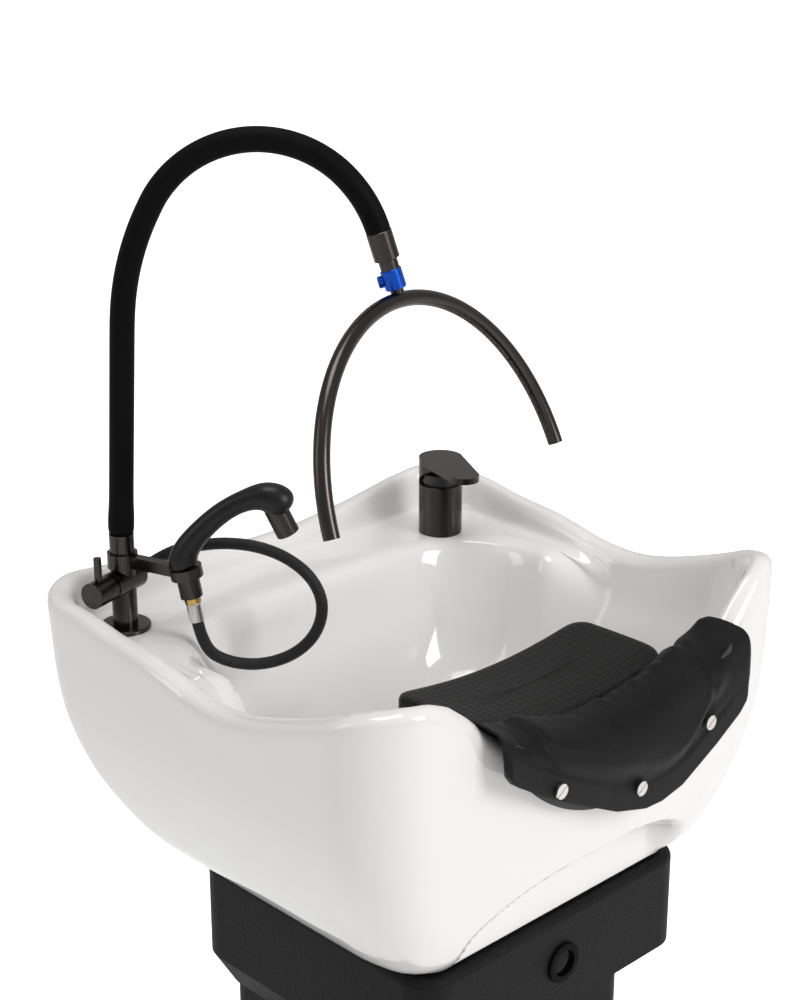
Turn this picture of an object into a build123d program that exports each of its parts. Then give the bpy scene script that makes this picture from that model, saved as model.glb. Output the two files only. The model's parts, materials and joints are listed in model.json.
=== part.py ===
from build123d import *
from math import asin, cos, degrees, radians, sin, sqrt, tan
import os

# Shampoo backwash unit: a tilting ceramic basin on a pedestal, with a mixer, a diverter post,
# a hand shower and a water arch on a flexible arm. Millimetres, +Z up, floor at Z = 0.
# The client's neck comes in from -Y, the hairdresser stands at +Y.

# Pedestal
base_width, base_depth, base_thickness, base_corner = 430, 350, 10, 24
floor_bolt_x, floor_bolt_y, floor_bolt_hole = 390, 310, 13
column_width, column_front, column_back, column_corner = 346, 118, 151, 26
column_top, shell_wall = 575, 5
panel_width, panel_height, panel_bottom, panel_thickness, panel_lap = 240, 360, 120, 3, 12
screw_radius, screw_head_radius, screw_head_height = 2.5, 4.5, 2.5
pivot_height = 600
upright_x, upright_thickness, upright_half_depth, upright_top = 136, 8, 45, 628
foot_length, frame_bolt_pitch, frame_bolt_radius, frame_bolt_head, frame_bolt_height = 60, 60, 5, 8.5, 7
bush_radius, bush_flange_radius, bush_flange = 14, 19, 1.5
pin_radius, pin_clearance, pin_head_radius, pin_head = 10, 0.05, 14, 4
tie_height, tie_opening_x, tie_opening_y = 480, 168, 56

# Tilting head
head_half_width, head_half_depth, head_bottom, head_top, head_corner = 195, 174, 552, 660, 34
head_wall, head_edge = 4, 9
lip_bottom, lip_gap = 520, 3
carrier_half_width, carrier_half_depth, carrier_thickness, carrier_corner = 172, 142, 8, 20
cheek_x, cheek_thickness, cheek_half_depth, cheek_bottom = 120, 8, 35, 572
service_hole_x, service_hole_y, service_corner = 200, 150, 20
grommet_height, grommet_radius, grommet_bore, grommet_flange, grommet_seat = 605, 22, 14.5, 4, 18
gasket_thickness, gasket_inset, gasket_width = 4, 4, 20

# Basin
foot_height = head_top + gasket_thickness
foot_half_width, foot_front, foot_back, foot_corner = 190, 164, 166, 34
rim_half_width, rim_front, rim_bow, rim_back, rim_corner = 304, 212, 28, 303, 62
hull_levels = ((672, 0.80), (690, 0.62), (730, 0.39), (780, 0.19), (835, 0.065), (890, 0.02), (990, 0.0))
ceramic, foot_floor, plinth_top = 9, 12, 690
deck_height, rim_width, pocket_corner = 920, 30, 42
shoulder_rim, side_dip, corner_rim, back_dip = 982, 927, 963, 940
bowl_levels = ((920, 228, 198, 183, 92), (800, 180, 165, 140, 80), (748, 104, 108, 108, 74))
drain_clearance = 0.5
notch_half_width, notch_low, notch_high, notch_flare, rim_clear = 168, 880, 936, 67, 1010
recess_half_width, recess_top, recess_shoulder, recess_depth = 150, 742, 700, 168
basin_bolt_x, basin_bolt_y, basin_bolt_radius, basin_bolt_clearance = 280, 190, 5, 0.5

# Waste
waste_flange_radius, waste_flange, waste_body_length, waste_wall = 40, 3, 56, 3.5
strainer_radius, strainer_thickness, strainer_hole = 34, 2, 2.4
waste_nut_radius, waste_nut_height = 36, 12
tail_radius, tail_bottom, tail_wall = 20, 590, 2
bell_radius, bell_top, bell_bottom, pipe_wall = 30, 598, 552, 3

# Supply
supply_x, supply_hole, inlet_bottom, inlet_top = 60, 11, 2, 44
inlet_bore, inlet_thread, inlet_radius, inlet_nut = 8.5, 20, 10.4, 15
flexible_radius, flexible_gap = 5, 2

# Mixer
mixer_x, mixer_y, mixer_radius, mixer_height = 200, 203, 25, 60
mixer_turned = -113
lever_height, lever_plate, lever_reach, lever_tip_radius, lever_gap = 30, 7, 86, 17, 1
dome_radius, dome_height, dome_clearance, dome_gap = 20.5, 13, 2, 0.3
spindle_radius, spindle_length, spindle_clearance = 5, 16, 0.05
shank_radius, shank_length, shank_clearance = 16, 44, 1.5
nut_height, nut_extra, washer_height, washer_extra = 9, 8, 3, 12

# Post and diverter
post_x, post_y, post_radius = -232, 227, 12.8
post_turned = 16
flange_radius, flange_height, post_shank_radius = 26, 5, 9
valve_height, valve_radius, valve_left, valve_right = 972, 13.8, 22, 24
handle_length, handle_radius, handle_gap, handle_spindle = 29, 13.4, 0.8, 10
lever_pin_radius, lever_pin_length, lever_pin_inset = 4, 24, 12
neck_radius, neck_bottom, neck_top = 11, 987, 1003
stub_radius, stub_top, stub_clearance = 7, 1014, 0.08
socket_radius, socket_top, socket_gap = 12.6, 1023, 0.3
clamp_radius = 15.5
outlet_x, outlet_radius = 16, 6.8
arm_width, arm_height = 11, 12

# Hand shower, in its holder at the end of the arm
holder_x, holder_y, holder_height, holder_lean = -209, 154, 1001, 10
sweep_azimuth = -44.4
ring_radius, ring_height, cup_radius, cup_length, cup_bore = 16.5, 11, 11.4, 21, 9.2
stem_radius, tail_nut_radius, tail_nut_height, ferrule_radius, ferrule_length = 7.5, 8.4, 6, 7.6, 20
grip_sections = (
    (0, 0, 0, 13.6), (2, 18, 24, 12.2), (16, 36.5, 41, 11), (34, 54, 53, 10.5), (54, 66.5, 64, 10.7),
)
grip_head_reach, grip_head_rise, grip_head_radius, grip_head_long = 88, 68, 15.5, 19
nozzle_radius, nozzle_top, nozzle_length, nozzle_lean = 11.8, 6, 30, 25
nozzle_bore, nozzle_bore_depth = 9.8, 4
hose_radius, hose_gap = 6.1, 0.3

# Flexible arm, coupler and water arch
sleeve_radius = 12.3
swan_straight, swan_lean = 218, 3
swan_bends = ((269, 26), (116, 108), (129, 26))
end_ferrule_radius, end_ferrule_length = 12.6, 28
knurl_radius, knurl_length = 9.3, 10
coupler_radius, coupler_length = 10.5, 20
button_radius, button_travel, button_proud, button_clearance = 6, 3, 4.5, 0.1
nipple_radius, nipple_length, nipple_clearance = 4.6, 22, 0.08
collar_radius, collar_gap = 6.6, 0.4
arch_radius, arch_half_angle, arch_tube, arch_wall = 202.5, 86, 7.9, 1.4
plug_length, plug_clearance = 4, 0.2
arch_side, arch_up = (0.977, 0.210, -0.042), (-0.037, 0.358, 0.933)
jet_radius, jet_count, jet_spread = 1.0, 23, 150

# Cushions
strap_half_width, strap_thickness, strap_gap, hook_drop = 45, 2, 0.4, 20
neck_outer, neck_inner, neck_thickness, neck_half_width, neck_gap = 262, 188, 19, 172, 0.3
flap_thickness, flap_back, flap_half_width, flap_low, flap_ends = 11, 246, 182, 806, 868
neck_cap, backing_drop = 948, 5
stud_radius, stud_head, stud_shank, stud_spots = 7.5, 3, 3, ((-108, 872), (8, 832), (112, 866))
backing_thickness, backing_margin, backing_half_width = 1.5, 14, 158
rest_width, rest_front, rest_back, rest_top = 250, 183, 73, 912
rest_thickness, rest_hollow, rest_corner = 34, 14, 18
cradle_width, cradle_thickness, cradle_margin, cushion_gap = 220, 3, 5, 0.4

# The hose of the hand shower: from its ferrule, down and round in one loop, back to the diverter.
hose_route = [
    (-198, 143, 913), (-175, 135, 893), (-147, 115, 887), (-119, 95, 896), (-99, 82, 918), (-90, 81, 948),
    (-96, 92, 976), (-111, 113, 996), (-129, 138, 1006), (-149, 164, 1008), (-168, 189, 1003),
    (-185, 211, 995),
]
hose_end = (-199, 220, 985)

os.makedirs("parts", exist_ok=True)


def save(name, part):
    """Label a finished piece and write it to its own file."""
    part.label = name
    export_step(part, f"parts/{name}.step")


def mix(low, high, share):
    return low + (high - low) * share


def outline(height, half_width, front, bow, back, corner):
    """Rounded outline whose front edge bows towards -Y."""
    with BuildSketch(Plane.XY.offset(height)) as drawn:
        with BuildLine():
            Polyline((half_width, -front), (half_width, back), (-half_width, back), (-half_width, -front))
            ThreePointArc((-half_width, -front), (0, -front - bow), (half_width, -front))
        make_face()
        fillet(drawn.vertices(), corner)
    return drawn.sketch


def hull_share(height):
    """How far the basin's outside has drawn in at a height, from 0 at the rim to 1 at the foot."""
    for (low, low_share), (high, high_share) in zip(hull_levels, hull_levels[1:]):
        if height <= high:
            return mix(low_share, high_share, (height - low) / (high - low))
    return 0


def hull_section(height, inset):
    """Outline of the basin's outside at one height, drawn in by an inset."""
    share = hull_share(height)
    return outline(
        height,
        mix(rim_half_width, foot_half_width, share) - inset,
        mix(rim_front, foot_front, share) - inset,
        mix(rim_bow, 1, share),
        mix(rim_back, foot_back, share) - inset,
        mix(rim_corner, foot_corner, share) - inset,
    )


def bowl_sections(grow):
    """Outlines of the bowl from the deck down, grown outwards for its underside."""
    sections = []
    for height, half_width, front, back, corner in bowl_levels:
        drop = 0 if height == deck_height else grow
        sections.append(
            outline(height - drop, half_width + grow, front + grow, 4, back + grow, corner + grow)
        )
    return sections


def rectangle(height, half_width, front, back, corner):
    """Rounded rectangle at a height, between two Y values."""
    with BuildSketch(Plane.XY.offset(height)) as drawn:
        with Locations((0, (back - front) / 2)):
            RectangleRounded(2 * half_width, front + back, corner)
    return drawn.sketch


def corner_radii(points):
    """The largest tangent arc that each corner of a route has room for."""
    corners = [Vector(*point) for point in points]
    radii = []
    for before, here, after in zip(corners, corners[1:], corners[2:]):
        turn = radians((here - before).get_angle(after - here))
        radii.append(0.45 * min((here - before).length, (after - here).length) / tan(turn / 2))
    return radii


def tube_along(points, radius):
    """Round solid along straight runs joined by tangent arcs."""
    with BuildPart() as tube:
        with BuildLine() as route:
            FilletPolyline(*points, radius=corner_radii(points))
        with BuildSketch(Plane(origin=route.line @ 0, z_dir=route.line % 0)):
            Circle(radius)
        sweep(path=route.line)
    return tube.part


# Base plate: the unit stands on it, bolted to the floor through its corners.
foot_x = upright_x + upright_thickness - foot_length / 2
frame_bolt_places = [
    (side * foot_x, y) for side in (-1, 1) for y in (-frame_bolt_pitch / 2, frame_bolt_pitch / 2)
]
supply_places = [(-supply_x, 0), (supply_x, 0)]
with BuildPart() as base_plate:
    with BuildSketch():
        RectangleRounded(base_width, base_depth, base_corner)
        with GridLocations(floor_bolt_x, floor_bolt_y, 2, 2):
            Circle(floor_bolt_hole / 2, mode=Mode.SUBTRACT)
        with Locations(*frame_bolt_places):
            Circle(frame_bolt_radius, mode=Mode.SUBTRACT)
        with Locations(*supply_places):
            Circle(supply_hole, mode=Mode.SUBTRACT)
        Circle(tail_radius + pipe_wall + 4, mode=Mode.SUBTRACT)
    extrude(amount=base_thickness)
    chamfer(base_plate.faces().sort_by(Axis.Z)[-1].outer_wire().edges(), 1)
save("base_plate", base_plate.part)

# Column frame: two uprights with feet, joined by a tie, carry the tilt bearings.
frame_height = upright_top - base_thickness
with BuildPart() as column_frame:
    for side in (-1, 1):
        with Locations((side * (upright_x + upright_thickness / 2), 0, base_thickness + frame_height / 2)):
            Box(upright_thickness, 2 * upright_half_depth, frame_height)
        with Locations((side * foot_x, 0, base_thickness + upright_thickness / 2)):
            Box(foot_length, 2 * upright_half_depth, upright_thickness)
    with Locations((0, 0, tie_height)):
        Box(2 * upright_x, 2 * upright_half_depth, upright_thickness)
        Box(tie_opening_x, tie_opening_y, upright_thickness, mode=Mode.SUBTRACT)
    with BuildSketch(Plane.YZ):
        with Locations((0, pivot_height)):
            Circle(bush_radius)
    extrude(amount=base_width, both=True, mode=Mode.SUBTRACT)
    with BuildSketch(Plane.XY.offset(base_thickness)):
        with Locations(*frame_bolt_places):
            Circle(frame_bolt_radius)
    extrude(amount=upright_thickness, mode=Mode.SUBTRACT)
save("column_frame", column_frame.part)

with BuildPart() as frame_bolts:
    with BuildSketch():
        with Locations(*frame_bolt_places):
            Circle(frame_bolt_radius)
    extrude(amount=base_thickness + upright_thickness)
    with BuildSketch(Plane.XY.offset(base_thickness + upright_thickness)):
        with Locations(*frame_bolt_places):
            RegularPolygon(frame_bolt_head, 6)
    extrude(amount=frame_bolt_height)
save("frame_bolts", frame_bolts.part)

# Column shell: moulded cover over the frame, open at the top, with an opening at the back.
with BuildPart() as column_shell:
    add(rectangle(base_thickness, column_width / 2, column_front, column_back, column_corner))
    extrude(amount=column_top - base_thickness)
    inner = column_corner - shell_wall
    add(
        rectangle(
            base_thickness, column_width / 2 - shell_wall, column_front - shell_wall,
            column_back - shell_wall, inner,
        )
    )
    extrude(amount=column_top - base_thickness, mode=Mode.SUBTRACT)
    with BuildSketch(Plane.XZ.offset(-column_back + shell_wall)):
        with Locations((0, panel_bottom + panel_height / 2)):
            RectangleRounded(panel_width - 2 * panel_lap, panel_height - 2 * panel_lap, 8)
    extrude(amount=-shell_wall, mode=Mode.SUBTRACT)
    with BuildSketch(Plane.XZ.offset(-column_back + shell_wall)):
        with Locations((0, panel_bottom + panel_height / 2)):
            with GridLocations(panel_width - panel_lap, panel_height - panel_lap, 2, 2):
                Circle(screw_radius)
    extrude(amount=-shell_wall, mode=Mode.SUBTRACT)
save("column_shell", column_shell.part)

with BuildPart() as access_panel:
    with BuildSketch(Plane.XZ.offset(-column_back)):
        with Locations((0, panel_bottom + panel_height / 2)):
            RectangleRounded(panel_width, panel_height, 10)
            with GridLocations(panel_width - panel_lap, panel_height - panel_lap, 2, 2):
                Circle(screw_radius, mode=Mode.SUBTRACT)
    extrude(amount=-panel_thickness)
save("access_panel", access_panel.part)

with BuildPart() as panel_screws:
    with BuildSketch(Plane.XZ.offset(-column_back + shell_wall)):
        with Locations((0, panel_bottom + panel_height / 2)):
            with GridLocations(panel_width - panel_lap, panel_height - panel_lap, 2, 2):
                Circle(screw_radius)
    extrude(amount=-shell_wall - panel_thickness)
    with BuildSketch(Plane.XZ.offset(-column_back - panel_thickness)):
        with Locations((0, panel_bottom + panel_height / 2)):
            with GridLocations(panel_width - panel_lap, panel_height - panel_lap, 2, 2):
                Circle(screw_head_radius)
    extrude(amount=-screw_head_height)
save("panel_screws", panel_screws.part)

# Tilt bearings: flanged bushes in the uprights, headed pins fixed in the cheeks of the carrier.
with BuildPart() as tilt_bushes:
    for side in (-1, 1):
        with BuildSketch(Plane(origin=(side * upright_x, 0, pivot_height), z_dir=(side, 0, 0))):
            Circle(bush_radius)
            Circle(pin_radius + pin_clearance, mode=Mode.SUBTRACT)
        extrude(amount=upright_thickness)
        with BuildSketch(Plane(origin=(side * upright_x, 0, pivot_height), z_dir=(-side, 0, 0))):
            Circle(bush_flange_radius)
            Circle(pin_radius + pin_clearance, mode=Mode.SUBTRACT)
        extrude(amount=bush_flange)
save("tilt_bushes", tilt_bushes.part)

with BuildPart() as tilt_pins:
    for side in (-1, 1):
        with BuildSketch(Plane(origin=(side * cheek_x, 0, pivot_height), z_dir=(side, 0, 0))):
            Circle(pin_radius)
        extrude(amount=upright_x + upright_thickness + 1 - cheek_x)
        with BuildSketch(Plane(origin=(side * cheek_x, 0, pivot_height), z_dir=(-side, 0, 0))):
            Circle(pin_head_radius)
        extrude(amount=pin_head)
save("tilt_pins", tilt_pins.part)

# Tilt carrier: the steel plate under the basin, with two cheeks that hang on the pins.
carrier_top = head_top - head_wall
bolt_places = [
    (x, y) for x in (-basin_bolt_x / 2, basin_bolt_x / 2) for y in (-basin_bolt_y / 2, basin_bolt_y / 2)
]
with BuildPart() as tilt_carrier:
    with BuildSketch(Plane.XY.offset(carrier_top - carrier_thickness)):
        RectangleRounded(2 * carrier_half_width, 2 * carrier_half_depth, carrier_corner)
        RectangleRounded(service_hole_x, service_hole_y, service_corner, mode=Mode.SUBTRACT)
        with Locations(*bolt_places):
            Circle(basin_bolt_radius + basin_bolt_clearance, mode=Mode.SUBTRACT)
    extrude(amount=carrier_thickness)
    cheek_height = carrier_top - carrier_thickness - cheek_bottom
    for side in (-1, 1):
        with Locations((side * (cheek_x + cheek_thickness / 2), 0, cheek_bottom + cheek_height / 2)):
            Box(cheek_thickness, 2 * cheek_half_depth, cheek_height)
    with BuildSketch(Plane.YZ):
        with Locations((0, pivot_height)):
            Circle(pin_radius)
    extrude(amount=base_width, both=True, mode=Mode.SUBTRACT)
save("tilt_carrier", tilt_carrier.part)

# Head cover: moulded block round the tilt carrier. Its lip draws in round the column at the sides
# and the back, and is cut away in front, where the head hangs over the column.
lip_half_width, lip_back = column_width / 2 + lip_gap, column_back + lip_gap
with BuildPart() as head_cover:
    loft([
        rectangle(
            lip_bottom, lip_half_width + head_wall, head_half_depth, lip_back + head_wall, head_corner,
        ),
        rectangle(head_bottom, head_half_width, head_half_depth, head_half_depth, head_corner),
        rectangle(head_top, head_half_width, head_half_depth, head_half_depth, head_corner),
    ], ruled=True)
    fillet(head_cover.faces().sort_by(Axis.Z)[-1].edges(), head_edge)
    hollow_depth = head_half_depth - head_wall
    loft([
        rectangle(lip_bottom, lip_half_width, hollow_depth, lip_back, head_corner - head_wall),
        rectangle(
            head_bottom, head_half_width - head_wall, hollow_depth, hollow_depth, head_corner - head_wall,
        ),
        rectangle(
            carrier_top, head_half_width - head_wall, hollow_depth, hollow_depth, head_corner - head_wall,
        ),
    ], ruled=True, mode=Mode.SUBTRACT)
    with Locations((0, -column_front - head_half_depth, lip_bottom)):
        front_cut = (2 * base_width, 2 * head_half_depth, 2 * (head_bottom - lip_bottom))
        Box(*front_cut, mode=Mode.SUBTRACT)
    with BuildSketch(Plane.XY.offset(carrier_top)):
        RectangleRounded(service_hole_x, service_hole_y, service_corner)
        with Locations(*bolt_places):
            Circle(basin_bolt_radius + basin_bolt_clearance)
    extrude(amount=head_wall, mode=Mode.SUBTRACT)
    with BuildSketch(Plane.XZ.offset(head_half_depth - head_wall)):
        with Locations((0, grommet_height)):
            Circle(grommet_seat)
    extrude(amount=head_wall, mode=Mode.SUBTRACT)
save("head_cover", head_cover.part)

with BuildPart() as grommet:
    with BuildSketch(Plane.XZ.offset(head_half_depth - head_wall)):
        with Locations((0, grommet_height)):
            Circle(grommet_seat)
    extrude(amount=head_wall)
    with BuildSketch(Plane.XZ.offset(head_half_depth)):
        with Locations((0, grommet_height)):
            Circle(grommet_radius)
    extrude(amount=grommet_flange)
    fillet(grommet.faces().sort_by(Axis.Y)[0].edges(), 0.45 * grommet_flange)
    with BuildSketch(Plane.XZ.offset(head_half_depth - head_wall)):
        with Locations((0, grommet_height)):
            Circle(grommet_bore)
    extrude(amount=head_wall + grommet_flange, mode=Mode.SUBTRACT)
save("grommet", grommet.part)

with BuildPart() as foot_gasket:
    edge = foot_corner - gasket_inset
    add(
        rectangle(
            head_top, foot_half_width - gasket_inset, foot_front - gasket_inset, foot_back - gasket_inset,
            edge,
        )
    )
    extrude(amount=gasket_thickness)
    inset = gasket_inset + gasket_width
    add(
        rectangle(
            head_top, foot_half_width - inset, foot_front - inset, foot_back - inset, foot_corner - inset,
        )
    )
    extrude(amount=gasket_thickness, mode=Mode.SUBTRACT)
save("foot_gasket", foot_gasket.part)

# Basin: cast ceramic, hollow between its outside and the bowl, open through the floor of its foot.
foot_top = foot_height + foot_floor
void_levels = [foot_top] + [
    height for height, share in hull_levels if foot_top < height < deck_height - ceramic
]
void_levels.append(deck_height - ceramic)
with BuildPart() as hollow:
    loft([hull_section(height, ceramic) for height in void_levels], ruled=True)
    loft(bowl_sections(ceramic), ruled=True, mode=Mode.SUBTRACT)
    notch_box_depth = rim_front + rim_bow
    with Locations((0, -notch_box_depth, deck_height)):
        Box(
            2 * (notch_half_width + ceramic), 0.9 * notch_box_depth,
            2 * (deck_height - notch_low + ceramic), mode=Mode.SUBTRACT,
        )
    with BuildSketch(Plane.XZ.offset(recess_depth - ceramic)):
        with Locations((0, mix(foot_height, recess_top, 0.5))):
            Rectangle(2 * (recess_half_width + ceramic), recess_top - foot_height + 2 * ceramic)
    extrude(amount=rim_front, mode=Mode.SUBTRACT)

notch_radius = (notch_half_width**2 + (notch_high - notch_low) ** 2) / (2 * (notch_high - notch_low))
notch_centre = notch_low + notch_radius
with BuildPart() as basin:
    loft([hull_section(height, 0) for height, share in hull_levels], ruled=True)
    add(outline(foot_height, foot_half_width, foot_front, 1, foot_back, foot_corner))
    extrude(amount=plinth_top - foot_height)
    add(hollow.part, mode=Mode.SUBTRACT)
    loft(bowl_sections(0), ruled=True, mode=Mode.SUBTRACT)
    pocket = (
        rim_half_width - rim_width, rim_front - rim_width, rim_bow, rim_back - rim_width, pocket_corner,
    )
    add(outline(deck_height, *pocket))
    extrude(amount=rim_clear - deck_height, mode=Mode.SUBTRACT)
    with BuildSketch(Plane.YZ):
        with BuildLine():
            crest = Spline(
                (-rim_front - 60, shoulder_rim - 8), (-200, shoulder_rim),
                (-150, mix(side_dip, shoulder_rim, 0.74)), (-60, mix(side_dip, shoulder_rim, 0.16)),
                (25, side_dip), (110, mix(side_dip, corner_rim, 0.5)),
                (200, mix(side_dip, corner_rim, 0.8)),
                (rim_back + 20, corner_rim),
            )
            Polyline(crest @ 1, (rim_back + 20, rim_clear), (-rim_front - 60, rim_clear), crest @ 0)
        make_face()
    extrude(amount=rim_half_width + rim_width, both=True, mode=Mode.SUBTRACT)
    with BuildSketch(Plane.XZ.offset(-rim_back + 2 * rim_width)):
        with BuildLine():
            crest = Spline(
                (-rim_half_width - 20, corner_rim + 8), (-190, mix(back_dip, corner_rim, 0.9)),
                (0, back_dip),
                (190, mix(back_dip, corner_rim, 0.9)), (rim_half_width + 20, corner_rim + 8),
            )
            Polyline(
                crest @ 1, (rim_half_width + 20, rim_clear), (-rim_half_width - 20, rim_clear), crest @ 0,
            )
        make_face()
    extrude(amount=-3 * rim_width, mode=Mode.SUBTRACT)
    with BuildSketch(Plane.XZ.offset(rim_front - 2 * rim_width)):
        with BuildLine():
            ThreePointArc((-notch_half_width, notch_high), (0, notch_low), (notch_half_width, notch_high))
            flare = (notch_half_width + notch_flare, notch_high + 0.75 * notch_flare)
            Polyline(
                (notch_half_width, notch_high), flare, (flare[0], rim_clear), (-flare[0], rim_clear),
                (-flare[0], flare[1]), (-notch_half_width, notch_high),
            )
        make_face()
    extrude(amount=rim_bow + 3 * rim_width, mode=Mode.SUBTRACT)
    with BuildSketch(Plane.XZ.offset(recess_depth)):
        with BuildLine():
            Line((recess_half_width, foot_height), (-recess_half_width, foot_height))
            Line((-recess_half_width, foot_height), (-recess_half_width, recess_shoulder))
            ThreePointArc(
                (-recess_half_width, recess_shoulder), (0, recess_top),
                (recess_half_width, recess_shoulder),
            )
            Line((recess_half_width, recess_shoulder), (recess_half_width, foot_height))
        make_face()
    extrude(amount=rim_front, mode=Mode.SUBTRACT)
    with BuildSketch(Plane.XY.offset(foot_height)):
        RectangleRounded(service_hole_x, service_hole_y, service_corner)
        with Locations(*bolt_places):
            Circle(basin_bolt_radius + basin_bolt_clearance)
    extrude(amount=foot_floor, mode=Mode.SUBTRACT)
    bowl_bottom = bowl_levels[-1][0]
    with BuildSketch(Plane.XY.offset(bowl_bottom - 2 * ceramic)):
        Circle(tail_radius + waste_wall + drain_clearance)
    extrude(amount=3 * ceramic, mode=Mode.SUBTRACT)
    with BuildSketch(Plane.XY.offset(deck_height - 2 * ceramic)):
        with Locations((mixer_x, mixer_y)):
            Circle(shank_radius + shank_clearance)
        with Locations((post_x, post_y)):
            Circle(post_shank_radius + shank_clearance)
    extrude(amount=3 * ceramic, mode=Mode.SUBTRACT)
save("basin", basin.part)

# Basin bolts: four bolts hold the basin's foot, gasket, cover and carrier together.
stack = foot_top - carrier_top + carrier_thickness
with BuildPart() as basin_bolts:
    with BuildSketch(Plane.XY.offset(foot_top - stack - nut_height)):
        with Locations(*bolt_places):
            Circle(basin_bolt_radius)
    extrude(amount=stack + nut_height)
    with BuildSketch(Plane.XY.offset(foot_top)):
        with Locations(*bolt_places):
            RegularPolygon(frame_bolt_head, 6)
    extrude(amount=frame_bolt_height)
save("basin_bolts", basin_bolts.part)

with BuildPart() as basin_bolt_nuts:
    with BuildSketch(Plane.XY.offset(foot_top - stack - nut_height)):
        with Locations(*bolt_places):
            RegularPolygon(frame_bolt_head, 6)
            Circle(basin_bolt_radius, mode=Mode.SUBTRACT)
    extrude(amount=nut_height)
save("basin_bolt_nuts", basin_bolt_nuts.part)

# Waste: strainer and flanged body in the bowl, nut below, tail that hangs in the bell of the pipe.
waste_top = bowl_bottom + waste_flange
body_radius = tail_radius + waste_wall
with BuildPart() as waste_body:
    with BuildSketch(Plane.XY.offset(bowl_bottom)):
        Circle(waste_flange_radius)
    extrude(amount=waste_flange)
    with BuildSketch(Plane.XY.offset(waste_top - waste_body_length)):
        Circle(body_radius)
    extrude(amount=waste_body_length)
    with BuildSketch(Plane.XY.offset(waste_top - waste_body_length)):
        Circle(tail_radius)
    extrude(amount=waste_body_length, mode=Mode.SUBTRACT)
    with BuildSketch(Plane.XY.offset(waste_top - strainer_thickness)):
        Circle(strainer_radius)
    extrude(amount=strainer_thickness, mode=Mode.SUBTRACT)
save("waste_body", waste_body.part)

with BuildPart() as waste_strainer:
    with BuildSketch(Plane.XY.offset(waste_top - strainer_thickness)):
        Circle(strainer_radius)
        with PolarLocations(0.35 * tail_radius, 6):
            Circle(strainer_hole, mode=Mode.SUBTRACT)
        with PolarLocations(0.76 * tail_radius, 12):
            Circle(strainer_hole, mode=Mode.SUBTRACT)
    extrude(amount=strainer_thickness)
save("waste_strainer", waste_strainer.part)

with BuildPart() as waste_nut:
    with BuildSketch(Plane.XY.offset(bowl_bottom - ceramic - waste_nut_height)):
        RegularPolygon(waste_nut_radius, 8)
        Circle(body_radius, mode=Mode.SUBTRACT)
    extrude(amount=waste_nut_height)
save("waste_nut", waste_nut.part)

with BuildPart() as waste_tail:
    with BuildSketch(Plane.XY.offset(tail_bottom)):
        Circle(tail_radius)
        Circle(tail_radius - tail_wall, mode=Mode.SUBTRACT)
    extrude(amount=waste_top - waste_body_length + 40 - tail_bottom)
save("waste_tail", waste_tail.part)

with BuildPart() as waste_pipe:
    with BuildSketch(Plane.XZ):
        with BuildLine():
            Polyline(
                (tail_radius, 0), (tail_radius + pipe_wall, 0), (tail_radius + pipe_wall, bell_bottom - 12),
                (bell_radius + pipe_wall, bell_bottom), (bell_radius + pipe_wall, bell_top),
                (bell_radius, bell_top),
                (bell_radius, bell_bottom), (tail_radius, bell_bottom - 12), (tail_radius, 0),
            )
        make_face()
    revolve(axis=Axis.Z)
save("waste_pipe", waste_pipe.part)

# Supply: threaded inlets in the base plate and hoses up to the tilt axis, where they flex.
with BuildPart() as supply_inlets:
    with BuildSketch(Plane.XY.offset(inlet_bottom)):
        with Locations(*supply_places):
            Circle(inlet_radius)
    extrude(amount=inlet_top - inlet_bottom)
    with BuildSketch(Plane.XY.offset(base_thickness)):
        with Locations(*supply_places):
            RegularPolygon(inlet_nut, 6)
    extrude(amount=nut_height)
    with BuildSketch(Plane.XY.offset(inlet_bottom)):
        with Locations(*supply_places):
            Circle(inlet_bore)
    extrude(amount=inlet_thread, mode=Mode.SUBTRACT)
save("supply_inlets", supply_inlets.part)

with BuildPart() as supply_hoses_lower:
    with BuildSketch(Plane.XY.offset(inlet_top)):
        with Locations(*supply_places):
            Circle(flexible_radius)
    extrude(amount=pivot_height - flexible_gap - inlet_top)
save("supply_hoses_lower", supply_hoses_lower.part)

shank_bottom = deck_height - ceramic - shank_length
hose_entry = 9
hot_route = [
    (supply_x, 0, pivot_height + flexible_gap), (62, 6, 650), (80, 52, 700), (130, 120, 732),
    (180, 180, 772),
    (mixer_x + 7, mixer_y - 5, 822), (mixer_x + 7, mixer_y - 5, shank_bottom),
]
cold_route = [
    (-supply_x, 0, pivot_height + flexible_gap), (-58, 6, 650), (-34, 62, 700), (50, 140, 726),
    (136, 190, 760),
    (mixer_x - 7, mixer_y - 5, 822), (mixer_x - 7, mixer_y - 5, shank_bottom),
]
save("supply_hose_hot", tube_along(hot_route, flexible_radius))
save("supply_hose_cold", tube_along(cold_route, flexible_radius))
link_route = [
    (mixer_x, mixer_y + hose_entry, shank_bottom), (mixer_x, mixer_y + hose_entry, 838), (168, 236, 806),
    (90, 240, 796),
    (-20, 243, 794), (-120, 240, 797), (-196, 236, 812), (post_x, post_y, 838),
    (post_x, post_y, shank_bottom),
]
save("link_hose", tube_along(link_route, flexible_radius))

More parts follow.
